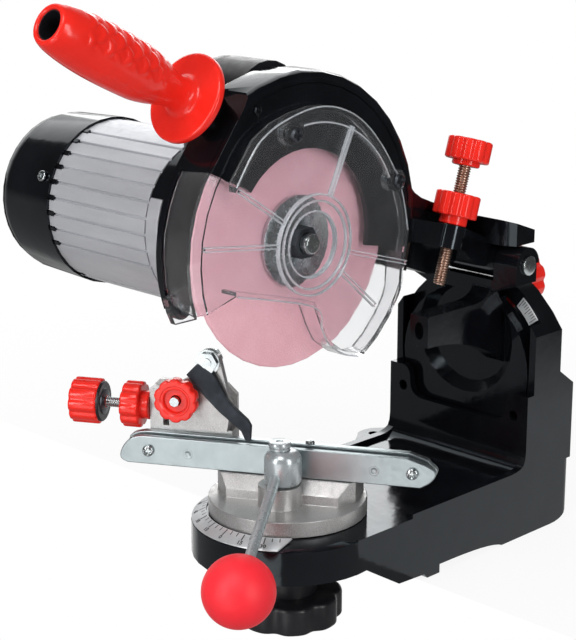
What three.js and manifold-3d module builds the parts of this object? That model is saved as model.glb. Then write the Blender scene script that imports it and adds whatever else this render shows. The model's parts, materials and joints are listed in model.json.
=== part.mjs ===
// Bench sharpener for saw chains: a cast base with a turning chain vise, and a grinding head that
// swings down on a tilting bracket. Millimetres, Z up, front of the machine towards -Y.
// The origin is on the bench plane, under the middle of the column's foot.
import * as THREE from "three";
import { mergeVertices } from "three/addons/utils/BufferGeometryUtils.js";
import Module from "manifold-3d";

const wasm = await Module();
wasm.setup();

// Clearances and shared values
const gap = 0.3; // between neighbours that touch
const overrun = 1; // how far a cutting tool runs past the face it cuts
const bite = 0.5; // how far joined bodies of one casting run into each other
const runningGap = 0.6; // round shafts and studs
const degree = Math.PI / 180;
const fine = 36; // sides of a large turned piece
const medium = 24;
const coarse = 16;
const few = 8;
const hexSides = 6;
const curveSteps = 8; // pieces of each curved stretch in a wide outline
const smallSteps = 5; // and of one in a small outline
const knobCollarWideShare = 1.2; // collar of a larger knob, in collars of a small one
const knobRecessWideShare = 1.1;
const knobFluteWideShare = 1.5;
const slotWidthShare = 0.25; // of a screw head's radius

// Places of the main axes
const wheelReach = 150; // from the origin forward to the wheel's axis
const wheelHeight = 204;
const hingeSetback = 7; // head hinge, behind the origin
const hingeHeight = 170;
const tiltHeight = 99; // tilt axis, which runs front to back through the cutting point
const viseReach = 152; // turning axis of the vise
const viseAngle = 30.5;

// Base casting
const baseHalfWidth = 56;
const deckHeight = 41;
const baseWall = 6;
const deckThickness = 6;
const baseRear = 45;
const rearCornerRadius = 6;
const bossRadius = 56;
const bossSeatRadius = 47;
const bossTop = 44.5;
const bossBevelFoot = 40;
const bossBottom = 20.5;
const bossHubRadius = 17;
const bossRimWall = 7;
const frontFootFrom = 92;
const frontFootLength = 11;
const rearFootFrom = 22;
const archRise = 5.3;
const skirtRise = 3;
const skirtFrontEnd = 117;
const skirtFrontRise = 4;
const rearHeelLength = 18;
const rearHeelRise = 13;
const lipHeight = 2.6;
const lipWidth = 5;
const lipFront = 106;
const ribWidth = 6;
const earReach = 72; // how far the bench ear reaches out from the middle
const earLength = 66;
const earCentre = 10.5;
const earThickness = 9;
const earTipRadius = 11;
const earTipRunShare = 0.8; // where the tip's curve meets the sides, in tip radii
const earTipRiseShare = 0.6;
const benchHoleRadius = 3.75;
const benchHoleInset = 10.5;
const benchBossRadius = 9;

// Column
const columnFront = 5;
const plateFront = 16; // front face of the upright plate behind the tilting bracket
const plateRear = 31;
const flangeTop = 127;
const tiltPlateFrom = 38; // degrees from the top of the crown
const tiltPlateSweep = 16;
const shoulderWidth = 48.5;
const shoulderTop = 137;
const crownCentre = 100;
const crownRadius = 61;
const crownSpread = 37; // degrees of the crown's arc each side of its top
const recessClearance = 1.3;
const padTop = 90;
const padWidth = 22;
const padSlope = 10;
const plinthFront = 1; // how far the plinth stands in front of the origin
const plinthTop = 70;
const plinthEarTop = 90;
const plinthEarInner = 46;
const plinthDip = 32;
const wallHoleRadius = 3.5;
const wallHoleOffset = 45;
const wallHoleHeight = 76;
const footFilletRadius = 14;
const cheekRise = 20;
const cheekRun = 20;

// Tilting bracket, seen from its own axis
const discRadius = 50;
const discFront = 5.5;
const spigotRadius = 13;
const dishRadius = 38;
const dishFloorRadius = 31;
const dishRise = 19;
const dishDepth = 6;
const neckHalfWidth = 20;
const neckRear = 14.6; // clear of the index plate when the bracket leans
const lugRadius = 11;
const lugWidth = 17.5;
const barrelHalfWidth = 28;
const yokeFront = 4; // in front of the origin
const armWidth = 14;
const armCentre = 20; // sideways place of the anvil and of the depth screw
const anvilReach = 62;
const anvilTop = 48;
const anvilDepth = 19;
const armRootDepth = 43;
const armBend = 20.7; // in front of the origin, where the arm curves down
const socketWidth = 7;
const socketHeight = 11;
const socketDepth = 5;
const lockRadius = 47; // lock stud from the tilt axis
const lockStudRadius = 4;
const lockBossRadius = 9;
const lockStudBite = 7;
const tiltRange = 35;
const yokeBeamDrop = 8;
const yokeBeamRoot = 24;
const yokeBeamRear = 4.4; // the outer beam passes in front of the column's shoulders
const slotSpare = 2; // degrees of slot past each end of the travel

// Tilt lock and pivot screw behind the column
const lockWasherRadius = 12;
const washerThickness = 2;
const pivotWasherRadius = 18;
const pivotScrewRadius = 4;
const pivotScrewLength = 16;
const hexAcross = 6.6; // half the width of a nut's corners
const hexHeight = 5;
const tiltKnobRadius = 20;
const tiltKnobHeight = 22;
const tiltKnobCollar = 6;

// Lobed hand knobs
const knobRadius = 13.6;
const knobHeight = 14;
const knobLobes = 10;
const knobFlute = 1.1;
const knobEdge = 1.2;
const knobCollarRadius = 8.4;
const knobCollarHeight = 5;
const knobRecessRadius = 6.4;
const knobRecessDepth = 4;
const pointsPerLobe = 3;

// Head casting, seen from the wheel's axis; outlines are lists of (back, up)
const housingRadius = 95;
const housingInner = 81.5;
const housingFace = 10; // right face of the rim, from the wheel's middle
const housingBack = 18; // left face of the back plate
const backPlateThickness = 4;
const rimRound = 4;
const rimSoftShare = 0.3; // of the rim's rounding, at its first and last bevels
const hoodOutline = [[0, 0], [183, -66], [200, 150], [9, 150], [-49.2, 72.5], [-68.6, 46.7], [-43.4, 36.2]];
const plateRadius = 93;
const plateFrontRadius = 83;
const plateStepAngle = 128; // from straight back, upwards
const plateFrontAngle = 200;
const plateRearAngle = -17;
const coverInner = 52.5; // edge of the black cover over the wheel's upper half
const coverOuter = 88;
const coverThickness = 3.7;
const coverRearAngle = -11;
const ledgeRoomTop = 7.2; // the cover and its seat stay above the arm's ledge
const coverScrew = [-34.5, 77]; // at the edge of the cover, ahead of the top
const coverScrewRadius = 2.6;
const coverScrewHeight = 1.4;
const coverScrewLength = 12;
const coverLugRadius = 7;
const neckShellOuter = 49.5;
const neckShellInner = 45.6;
const neckShellFloor = 21; // the half shell over the neck ends this far above the axis
const neckShellEnd = 66;
const neckDiscFrom = 51.7;
const bearingTubeRadius = 22;
const shaftBore = 9.5;
const webOutline = [
  [78, 18.7],
  [150, -7.5],
  [158, -28],
  [150, -34],
  [138, -35],
  [124, -40],
  [112, -38.5],
  [88, -29],
  [78, -27.2],
];
const webRight = 5;
const filletOutline = [[84, 30], [90.3, 29.4], [90, 13.5], [112, 6.3], [100, -5], [84, -5]];
const ledgeOutline = [
  [66, 6.3],
  [116, -6.5],
  [130.5, -11.7],
  [150, -20.6],
  [160, -25],
  [157, -34],
  [150, -38],
  [137, -34.5],
  [126, -24],
  [116, -20.5],
  [66, -7.3],
];
const ledgeRight = 22;
const endBlockOutline = [[146, -6.2], [168, -14.2], [168, -22], [146, -22]];
const endBlockHalfWidth = 42;
const endBlockCorner = 9;
const barrelBack = wheelReach + hingeSetback;
const barrelDrop = wheelHeight - hingeHeight;
const barrelRadius = 10.7;
const barrelLeft = 10; // the barrel stops short on the left to leave room for the return spring
const pinRadius = 5;
const pinHeadRadius = 6;
const pinHeadLength = 2.6;
const pinHeadCrownShare = 0.6; // of the head's radius
const screwBossRadius = 9;
const screwBossLength = 14;
const screwBossBack = 116; // from the wheel's axis
const screwBossDrop = 6.8; // below the wheel's axis

// Handle, along its own axis from the flange
const handleSide = 16; // left of the wheel's middle
const handleReach = 59;
const handleRise = 82.5;
const handleRaise = 27;
const handleBossRadius = 11;
const handleBossLength = 24;
const handleStudRadius = 5;
const handleStudEnd = 27;
const handleProfile = [
  [24, 0],
  [25, 1],
  [25, 3.5],
  [24, 4.5],
  [12, 5.8],
  [9.6, 9],
  [9.2, 14],
  [11.2, 22],
  [13.6, 31],
];
const handleRidges = [[15, 38], [14.6, 43], [15.6, 49], [15, 54], [15.8, 60], [15.1, 66], [15.4, 72]];
const handleTip = [[13.6, 91], [12, 99.5], [9.6, 103]];
const handleSides = 20;
const handleBoreRadius = 8;
const handleBoreFloor = 39;
const handleHeadRadius = 6.8;
const handleHeadLength = 4.4;

// Switch box over the motor's neck
const boxRadius = 26;
const boxMiddle = 1; // behind the wheel's axis
const boxCentreHeight = 71.8;
const boxRight = 18.3;
const boxDomeFrom = 50;
const domeSteps = 6;
const boxFloor = 20;
const boxWall = 2.5;
const boxSeatRadius = 50.3;
const switchSide = 36; // left of the wheel's middle
const switchHeight = 60;
const rockerLength = 17;
const rockerWidth = 10;
const rockerDepth = 5;
const rockerProud = 3;
const rockerDish = 1.2;
const rockerKeelShare = 0.8; // of the rocker's half length
const rockerThrow = 10;
const bezelMargin = 3;
const bezelThickness = 1.6;
const switchWall = 1.2;
const switchBodyDepth = 14;
const rockerSpare = 0.9;
const rockerAxisDepth = 3; // behind the bezel's seat
const glandBore = 3.5;
const glandNeck = 5.2;
const glandNut = 9;
const glandNutLength = 4;
const glandLength = 14;
const glandTip = 6;

// Motor
const motorRadius = 50;
const motorWall = 7;
const motorFrom = 66.3;
const motorTo = 153.2;
const grooveFields = 3; // groups of grooves, with a smooth band between groups
const groovesPerField = 9;
const groovePitch = 10.9;
const grooveStart = 115;
const grooveDepth = 1.4;
const grooveHalfWidth = 1.1; // degrees
const grooveFloorHalf = 0.6;
const pocketLength = 4.6;
const pocketHalfWidth = 1.9;
const bandSteps = 3;
const spigotLength = 14;
const spigotOuter = 47.2;
const frontRingFrom = 56;
const frontRingThickness = 3;
const frontRingBore = 18;
const capFrom = 153.5;
const capRadius = 51.5;
const capEndRadius = 50;
const capEnd = 210;
const capRound = 16;
const capWall = 4;
const capRoundSteps = 3;
const capBossRadius = 20;
const fingerWidth = 2.4;
const fingerHeight = 1.8;
const capScrewAt = 161.2;
const capScrewAngles = [157.3, 337.3];
const capScrewRadius = 3.4;
const capScrewHeight = 2;
const capScrewShank = 1.8;
const capScrewLength = 6.5;
const statorFrom = 92;
const statorTo = 138;
const statorOuter = 42.7;
const statorInner = 27;
const windingOuter = 40;
const windingLength = 9;
const rotorRadius = 26.2;
const shaftRadius = 6;
const shaftSeatRadius = 8;
const shaftShoulder = 13.3;
const shaftEnd = 188;
const shaftNose = 18;
const bearingRadius = 16;
const frontBearingFrom = 39;
const frontBearingTo = 49;
const rearBearingFrom = 173;
const rearBearingTo = 183;

// Wheel and its flanges
const wheelRadius = 72.5;
const wheelThickness = 3.2;
const wheelBore = 8;
const wheelEdge = 0.6;
const wheelFlangeRadius = 26;
const wheelFlangeThickness = 4;
const flangeHubRadius = 12;
const flangeHubEnd = 13;
const flangeDish = 1.2;
const flangeRimWidth = 6;
const nutAcross = 9.5;
const nutHeight = 7;

// Clear wheel guard
const guardOutline = [
  [-57.2, 39.6],
  [-39.3, 62.5],
  [-27, 69.4],
  [-13, 73.4],
  [0, 75.4],
  [12, 75.4],
  [24, 72.6],
  [36, 66.8],
  [47, 58.6],
  [57, 47.8],
  [66.4, 34.7],
  [73, 22],
  [78, 8],
  [80, -4.5],
  [75.8, -27.7],
  [75.2, -39.5],
  [68.6, -56.4],
  [60, -66],
  [51.5, -72.3],
  [38, -72.6],
  [26, -69],
  [13.7, -60],
  [8, -50],
  [1.7, -35.5],
  [-57.8, -19],
  [-84, -26.5],
  [-104, -30],
  [-104, 68],
];
const lobeFrom = -57; // the front lobe lies ahead of this line
const lobeSkirtRadius = 81.5;
const lobeShoulderRadius = 88;
const lobeShoulder = 12;
const lobeFaceRadius = 83.5;
const lobeBack = 13.7;
const guardFace = 17.5; // outer face, right of the wheel's middle
const guardWall = 2.2;
const guardUpperEdge = 10.4; // left edge of the upper wall, in front of the black cover
const guardLowerEdge = 4; // left edge of the lower wall
const guardStep = -18; // below this the wall is deeper
const guardHubRadius = 28.5;
const guardWindowRadius = 18;
const guardRingHeight = 2.4;
const guardRibWidth = 1.8;
const guardRibHeight = 1.6;
const guardArcRadius = 68.4;
const guardArcFrom = 26;
const guardArcTo = 97;
const guardRibs = [[-16.7, 79], [64.6, 69], [172.6, 82], [-41.3, 66], [146.2, 68]]; // (angle, reach)
const guardScrews = [[-15.3, 62.9], [68, 26.5]];
const guardScrewBoss = 6.5;
const sharpestShare = 0.5; // the least spread of a corner when the outline shrinks
const guardScrewRadius = 4.2;
const guardScrewHeight = 2.4;
const guardScrewShank = 2;
const guardScrewLength = 12;
const guardBossHeight = 1.6;
const guardTabOutline = [[-84, -22], [-78, -36], [-62, -36], [-60, -17], [-72, -17]];
const guardTabScrew = [-70, -28];
const guardTabLug = 4;
const tabSeatRadius = 7;

// Depth screw, along its own axis from the top of its boss
const screwLeanBack = 17.7;
const depthRodRadius = 3.8;
const depthRodTip = 36;
const depthRodTop = 50;
const depthKnobFrom = 36;
const depthKnobCollar = 3;
const depthKnobHeight = 13;

// Turntable, from the deck's turning axis; plan outlines are lists of (along, back)
const tableRadius = 46;
const tableFrom = 44.8;
const tableDiscTop = 54;
const tableTop = 66.6;
const tableBlockPlan = [[-41, -4], [-33, -15], [33, -15], [41, -4], [41, 18], [30, 32], [-30, 32], [-41, 18]];
const tableFacet = 7;
const hubPadRadius = 12.5;
const clampStudRadius = 5;
const clampKnobRadius = 32;
const clampKnobTop = -5;
const clampKnobBottom = -22;
const clampKnobNeck = 17;
const clampRecessShare = 0.7; // of the neck's radius
const clampKnobLobes = 8;
const clampKnobFlute = 2.6;
const scaleThickness = 0.8;
const scaleFrom = 182; // degrees round the vise, in the machine's frame
const scaleTo = 318;

// Vise rails; outlines are lists of (along, up from the rail's top)
const jawFront = -7;
const jawBack = -3;
const railFront = -1.4;
const railBack = 3;
const railTop = 84;
const railOutline = [
  [-92.5, 0],
  [-97.5, -4],
  [-99.6, -13.2],
  [-95.4, -17.1],
  [78.5, -17.1],
  [87.4, -9.6],
  [86.2, -5.6],
  [70.8, 0],
];
const rearRailRise = 1.4;
const tabFrom = -14;
const tabTo = -3.5;
const tabHeight = 2;
const railScrewsAlong = [-82, 74];
const railScrewDrop = 8.6;
const railScrewRadius = 3.4;
const railScrewHeight = 2.2;
const railScrewShank = 1.8;
const dimplesAlong = [-58, 52];
const dimpleRadius = 2.4;
const dimpleDepth = 0.6;
const domeAlong = 13;
const domeRadius = 2.9;
const domeHeight = 2.2;
const domeShoulderShare = 0.8; // of the dome's radius
const domeRiseShare = 0.7; // of its height, at the shoulder
const domeShank = 1.4;
const domeLength = 6;

// Cam lever
const hubRadius = 10.7;
const hubBottom = 67;
const hubTop = 87;
const hubFront = -18; // the cam's pivot, in front of the turning axis
const camOffset = 1.8;
const hubCapRadius = 6.4;
const hubCapTop = 92;
const hubPinRadius = 4;
const hubPinFoot = 58;
const leverRodRadius = 3.1;
const leverDrop = 25;
const leverFrom = 6.5;
const leverHeight = 77;
const leverLength = 94;
const ballRadius = 20;
const ballSteps = 9;
const ballSocketDepth = 14;

// Chain stop, behind the rear rail
const stopFrom = -84;
const stopTo = -34;
const stopFoot = 68;
const stopLedgeTop = 88;
const stopEarEnd = -76;
const stopEarTop = 110;
const stopBack = 13.3; // front face of the upright plate
const stopPlateThickness = 4;
const stopPlateTop = 113;
const carriageFront = -1.1;
const carriageBlockOutline = [[-71, 88.4], [-36, 88.4], [-36, 103], [-42, 113], [-71, 113]];
const carriagePlateOutline = [
  [-71, 88.4],
  [-36, 88.4],
  [-33.5, 104],
  [-40.5, 134],
  [-50.5, 135],
  [-57, 120.5],
  [-71, 113],
];
const carriagePlateBack = 3.9;
const thrustHeight = 98.4;
const thrustDepth = 7.2; // behind the turning axis
const thrustRodRadius = 3;
const thrustRodEnd = -66;
const thrustKnobFrom = -132;
const thrustKnobTo = -112;
const thrustKnobRadius = 13.5;
const thrustLockFrom = -84.3;
const thrustTravel = 5;
const faceInsertDepth = 3;
const clampAlong = -64;
const clampHeight = 108;
const stopKnobRadius = 13;
const stopKnobHeight = 7;
const stopKnobCollar = 3;
const clampScrewRadius = 3;
const clampScrewProud = 1.2;
const clampNutHeight = 4;
const pawlFront = -4.7;
const pawlBack = -1.7;
const pawlPivot = [-47, 129];
const pawlOutline = [
  [-58, 124],
  [-52, 132.6],
  [-46, 133.4],
  [-41, 126],
  [-22.4, 94],
  [-22, 84.6],
  [-25.2, 84.4],
  [-31.4, 96.5],
];
const pawlBoltRadius = 3;
const pawlBoltHead = 5;
const pawlBoltHeight = 3.4;

// Return spring round the hinge pin
const springRadius = 8.5;
const springWire = 0.9;
const springTurns = 5;
const springSteps = 9;
const springSides = 5;
const springFrom = -27;
const springTo = -11.6;
const springLegUp = 7.5;
const springLegDown = 9;

// Colours
const blackGloss = { color: 0x14161a, roughness: 0.28, metalness: 0.1 };
const redPlastic = { color: 0xe8382c, roughness: 0.38, metalness: 0 };
const castSilver = { color: 0xbcb8b6, roughness: 0.42, metalness: 0.85 };
const zincSteel = { color: 0xa8b2b4, roughness: 0.32, metalness: 0.9 };
const darkSteel = { color: 0x3a3c40, roughness: 0.4, metalness: 0.8 };
const copperThread = { color: 0xb98b74, roughness: 0.4, metalness: 0.8 };
const pinkGrit = { color: 0xe4b2bc, roughness: 0.95, metalness: 0 };
const clearPlastic = { color: 0xe8eef0, roughness: 0.08, metalness: 0, transparent: true, opacity: 0.35 };
const scaleMetal = { color: 0xd4d8da, roughness: 0.35, metalness: 0.7 };
const windingCopper = { color: 0xa5603a, roughness: 0.5, metalness: 0.6 };
const blackPlastic = { color: 0x1c1d20, roughness: 0.55, metalness: 0 };

// Turns a closed geometry into a solid that can be cut and joined.
function solidOf(shape) {
  if (shape instanceof wasm.Manifold) return shape;
  const bare = shape.clone();
  bare.deleteAttribute("normal");
  bare.deleteAttribute("uv");
  const merged = mergeVertices(bare, 1e-4);
  const corners = [];
  for (let i = 0; i < merged.index.count; i += 3) {
    const [a, b, c] = [merged.index.getX(i), merged.index.getX(i + 1), merged.index.getX(i + 2)];
    if (a !== b && b !== c && a !== c) corners.push(a, b, c);
  }
  const build = (list) =>
    new wasm.Manifold(
      new wasm.Mesh({
        numProp: 3,
        vertProperties: new Float32Array(merged.attributes.position.array),
        triVerts: new Uint32Array(list),
      }),
    );
  const made = build(corners);
  return made.volume() > 0 ? made : build(corners.reverse());
}

function join(...shapes) {
  return shapes.map(solidOf).reduce((whole, next) => whole.add(next));
}

function cut(body, ...tools) {
  return tools.map(solidOf).reduce((whole, tool) => whole.subtract(tool), solidOf(body));
}

function common(first, second) {
  return solidOf(first).intersect(solidOf(second));
}

function geometryOf(shape) {
  const mesh = solidOf(shape).getMesh();
  const positions = new Float32Array(mesh.numVert * 3);
  for (let i = 0; i < mesh.numVert; i += 1) {
    positions.set(mesh.vertProperties.subarray(i * mesh.numProp, i * mesh.numProp + 3), i * 3);
  }
  const geometry = new THREE.BufferGeometry();
  geometry.setAttribute("position", new THREE.BufferAttribute(positions, 3));
  geometry.setIndex(new THREE.BufferAttribute(new Uint32Array(mesh.triVerts), 1));
  const faceted = geometry.toNonIndexed();
  faceted.computeVertexNormals();
  return faceted;
}

// Adds one named piece to a group.
function addPiece(parent, name, shape, finish, place = [0, 0, 0], turn = [0, 0, 0]) {
  const mesh = new THREE.Mesh(geometryOf(shape), new THREE.MeshStandardMaterial(finish));
  mesh.name = name;
  mesh.position.set(...place);
  mesh.rotation.set(...turn);
  parent.add(mesh);
  return mesh;
}

// Turned pieces: the profile is a list of [radius, height] and the axis is Z, X or Y.
function turned(profile, sides, axis = "z") {
  const points = profile.map(([radius, height]) => new THREE.Vector2(radius, height));
  const geometry = new THREE.LatheGeometry(points, sides);
  geometry.rotateX(Math.PI / 2);
  if (axis === "x") geometry.rotateY(Math.PI / 2);
  if (axis === "y") geometry.rotateX(-Math.PI / 2);
  return geometry;
}

function rod(radius, from, to, sides = coarse, axis = "z") {
  return turned([[0, from], [radius, from], [radius, to], [0, to]], sides, axis);
}

function ring(inner, outer, from, to, sides = medium, axis = "z") {
  const profile = [[inner, from], [outer, from], [outer, to], [inner, to], [inner, from]];
  return turned(profile, sides, axis);
}

function boxBetween(low, high) {
  const size = high.map((value, i) => value - low[i]);
  const geometry = new THREE.BoxGeometry(...size);
  geometry.translate(...low.map((value, i) => value + size[i] / 2));
  return geometry;
}

function shapeOf(points) {
  return new THREE.Shape(points.map(([x, y]) => new THREE.Vector2(x, y)));
}

// Plan outlines rise along Z; front outlines, drawn as (x, z), run along Y;
// side outlines, drawn as (y, z), run along X.
function extrudePlan(shape, from, to, curveSegments = few) {
  const options = { depth: to - from, bevelEnabled: false, curveSegments };
  return new THREE.ExtrudeGeometry(shape, options).translate(0, 0, from);
}

function extrudeFront(shape, from, to, curveSegments = few) {
  const options = { depth: to - from, bevelEnabled: false, curveSegments };
  const geometry = new THREE.ExtrudeGeometry(shape, options);
  return geometry.rotateX(Math.PI / 2).translate(0, to, 0);
}

function extrudeSide(shape, from, to, curveSegments = few) {
  const options = { depth: to - from, bevelEnabled: false, curveSegments };
  const geometry = new THREE.ExtrudeGeometry(shape, options);
  return geometry.rotateY(Math.PI / 2).rotateX(Math.PI / 2).translate(from, 0, 0);
}

// A lobed hand knob standing on its collar, with a bore for its screw.
function lobedKnob({ radius, height, lobes, flute, bore, collarRadius, collarHeight, recess, recessDepth }) {
  const outline = [];
  for (let i = 0; i < lobes * pointsPerLobe; i += 1) {
    const angle = (i / (lobes * pointsPerLobe)) * 2 * Math.PI;
    const wave = Math.max(0, Math.cos(angle * lobes)) * flute;
    const reach = radius - knobEdge - wave;
    outline.push([reach * Math.cos(angle), reach * Math.sin(angle)]);
  }
  const options = {
    depth: height - 2 * knobEdge,
    bevelEnabled: true,
    bevelThickness: knobEdge,
    bevelSize: knobEdge,
    bevelSegments: 1,
  };
  const grip = new THREE.ExtrudeGeometry(shapeOf(outline), options);
  grip.translate(0, 0, collarHeight + knobEdge);
  const collar = rod(collarRadius, 0, collarHeight + bite, coarse);
  const top = collarHeight + height;
  const pocket = rod(recess, top - recessDepth, top + overrun, few);
  return cut(join(grip, collar), pocket, rod(bore, -overrun, top + overrun, few));
}

// A pan-head screw on its short shank, the head towards +Z.
function panScrew(radius, height, shankRadius, shankLength) {
  const crown = height / 2;
  const profile = [
    [0, -shankLength],
    [shankRadius, -shankLength],
    [shankRadius, 0],
    [radius, 0],
    [radius, crown],
    [radius - crown, height],
    [0, height],
  ];
  const half = (radius * slotWidthShare) / 2;
  const far = radius + overrun;
  const slot = boxBetween([-far, -half, height - crown], [far, half, height + overrun]);
  return cut(turned(profile, few), slot);
}

const model = new THREE.Group();
const base = new THREE.Group();
const tilting = new THREE.Group();
tilting.position.set(0, 0, tiltHeight);
const head = new THREE.Group();
head.position.set(0, -wheelReach, wheelHeight);
const vise = new THREE.Group();
vise.position.set(0, -viseReach, 0);
vise.rotation.z = viseAngle * degree;
model.add(base, tilting, head, vise);

// Base casting: the long foot with its round boss, the ear and the column
function footBody() {
  const half = baseHalfWidth;
  const plan = new THREE.Shape();
  plan.moveTo(-half, -viseReach);
  plan.lineTo(half, -viseReach);
  plan.lineTo(half, baseRear - rearCornerRadius);
  plan.quadraticCurveTo(half, baseRear, half - rearCornerRadius, baseRear);
  plan.lineTo(-half + rearCornerRadius, baseRear);
  plan.quadraticCurveTo(-half, baseRear, -half, baseRear - rearCornerRadius);
  plan.closePath();
  const side = new THREE.Shape();
  side.moveTo(-viseReach - overrun, bossBottom + archRise);
  side.lineTo(-skirtFrontEnd, skirtFrontRise);
  side.lineTo(-frontFootFrom - skirtRise, skirtRise);
  side.lineTo(-frontFootFrom, 0);
  side.lineTo(-frontFootFrom + frontFootLength, 0);
  side.lineTo(-frontFootFrom + frontFootLength, archRise);
  side.quadraticCurveTo(-rearFootFrom - frontFootLength, archRise, -rearFootFrom, 0);
  side.lineTo(baseRear - rearHeelLength, 0);
  side.quadraticCurveTo(baseRear, 0, baseRear, rearHeelRise);
  side.lineTo(baseRear, deckHeight);
  side.lineTo(-viseReach - overrun, deckHeight);
  side.closePath();
  const foot = common(
    extrudePlan(plan, -overrun, deckHeight, smallSteps),
    extrudeSide(side, -half - overrun, half + overrun, curveSteps),
  );
  const bossProfile = [
    [0, bossBottom],
    [bossRadius, bossBottom],
    [bossRadius, bossBevelFoot],
    [bossSeatRadius, bossTop],
    [0, bossTop],
  ];
  return join(foot, turned(bossProfile, fine).translate(0, -viseReach, 0));
}

function footHollow() {
  const half = baseHalfWidth - baseWall;
  const roof = deckHeight - deckThickness;
  const well = boxBetween([-half, -viseReach + bossHubRadius, -overrun], [half, -rearFootFrom, roof]);
  const rib = boxBetween(
    [-ribWidth / 2, -viseReach, archRise + ribWidth],
    [ribWidth / 2, -rearFootFrom + overrun, roof + overrun],
  );
  const moat = ring(bossHubRadius, bossRadius - bossRimWall, bossBottom - overrun, roof, medium);
  return cut(join(well, moat.translate(0, -viseReach, 0)), rib);
}

function benchEar() {
  const wall = baseHalfWidth - baseWall;
  const tip = -earReach + earTipRadius * (1 - earTipRunShare);
  const rise = earTipRadius * earTipRiseShare;
  const ear = new THREE.Shape();
  ear.moveTo(-wall, -earCentre - earLength / 2);
  ear.lineTo(-baseHalfWidth, -earCentre - earLength / 2);
  ear.quadraticCurveTo(-baseHalfWidth - bite, -earCentre - earTipRadius * 2, tip, -earCentre - rise);
  ear.quadraticCurveTo(-earReach, -earCentre, tip, -earCentre + rise);
  ear.quadraticCurveTo(
    -baseHalfWidth - bite,
    -earCentre + earTipRadius * 2,
    -baseHalfWidth,
    -earCentre + earLength / 2,
  );
  ear.lineTo(-wall, -earCentre + earLength / 2);
  ear.closePath();
  const plate = extrudePlan(ear, deckHeight - earThickness, deckHeight, curveSteps);
  const post = rod(benchBossRadius, 0, deckHeight, coarse);
  return join(plate, post.translate(-earReach + benchHoleInset, -earCentre, 0));
}

function columnFace() {
  const half = baseHalfWidth;
  const crownHalf = Math.sin(crownSpread * degree) * crownRadius;
  const crownSide = Math.cos(crownSpread * degree) * crownRadius + crownCentre;
  const left = (90 + crownSpread) * degree;
  const right = (90 - crownSpread) * degree;
  const face = new THREE.Shape();
  face.moveTo(-half, deckHeight - bite);
  face.lineTo(half, deckHeight - bite);
  face.lineTo(half, flangeTop);
  face.lineTo(shoulderWidth, shoulderTop);
  face.lineTo(crownHalf, crownSide);
  face.absarc(0, crownCentre, crownRadius, right, left, false);
  face.lineTo(-shoulderWidth, shoulderTop);
  face.lineTo(-half, flangeTop);
  face.closePath();
  return face;
}

function plinthFace() {
  const half = baseHalfWidth;
  const middle = (plinthDip + plinthEarInner) / 2;
  const level = (plinthTop + plinthEarTop) / 2;
  const face = new THREE.Shape();
  face.moveTo(-half, deckHeight - bite);
  face.lineTo(half, deckHeight - bite);
  face.lineTo(half, plinthEarTop);
  face.lineTo(plinthEarInner, plinthEarTop);
  face.quadraticCurveTo(middle, plinthEarTop, middle, level);
  face.quadraticCurveTo(middle, plinthTop, plinthDip - padSlope / 2, plinthTop);
  face.lineTo(-plinthDip + padSlope / 2, plinthTop);
  face.quadraticCurveTo(-middle, plinthTop, -middle, level);
  face.quadraticCurveTo(-middle, plinthEarTop, -plinthEarInner, plinthEarTop);
  face.lineTo(-half, plinthEarTop);
  face.closePath();
  return face;
}

function columnBody() {
  const half = baseHalfWidth;
  const plate = extrudeFront(columnFace(), columnFront, plateRear, few);
  const plinth = extrudeFront(plinthFace(), -plinthFront, columnFront + bite, smallSteps);
  const padSide = shapeOf([
    [plateRear - bite, deckHeight - bite],
    [baseRear, deckHeight - bite],
    [baseRear, padTop],
    [plateRear, padTop + padSlope],
    [plateRear - bite, padTop + padSlope],
  ]);
  const pads = [-half, half - padWidth].map((x) => extrudeSide(padSide, x, x + padWidth));
  const fillet = new THREE.Shape();
  fillet.moveTo(-plinthFront + bite, deckHeight - bite);
  fillet.lineTo(-plinthFront - footFilletRadius, deckHeight - bite);
  fillet.lineTo(-plinthFront - footFilletRadius, deckHeight);
  fillet.quadraticCurveTo(-plinthFront, deckHeight, -plinthFront, deckHeight + footFilletRadius);
  fillet.lineTo(-plinthFront + bite, deckHeight + footFilletRadius);
  fillet.closePath();
  const cheek = new THREE.Shape();
  cheek.moveTo(columnFront + bite, deckHeight - bite);
  cheek.lineTo(columnFront - cheekRun, deckHeight - bite);
  cheek.lineTo(columnFront - cheekRun, deckHeight + lipHeight);
  const lipTop = deckHeight + lipHeight;
  cheek.quadraticCurveTo(columnFront, lipTop, columnFront, lipTop + cheekRise);
  cheek.lineTo(columnFront + bite, deckHeight + lipHeight + cheekRise);
  cheek.closePath();
  const cheeks = [-half, half - lipWidth].map((x) => extrudeSide(cheek, x, x + lipWidth, curveSteps));
  const lips = [-half, half - lipWidth].map((x) =>
    boxBetween([x, -lipFront, deckHeight - bite], [x + lipWidth, columnFront - cheekRun + bite, lipTop]),
  );
  return join(plate, plinth, ...pads, extrudeSide(fillet, -half, half, smallSteps), ...cheeks, ...lips);
}

// The recess in which the tilting bracket's disc turns, open at the top
function columnRecess() {
  const radius = discRadius + recessClearance;
  const well = rod(radius, columnFront - overrun, plateFront, fine, "y").translate(0, 0, tiltHeight);
  const above = boxBetween(
    [-radius, columnFront - overrun, tiltHeight],
    [radius, plateFront, crownCentre + crownRadius + overrun],
  );
  return join(well, above);
}

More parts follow.
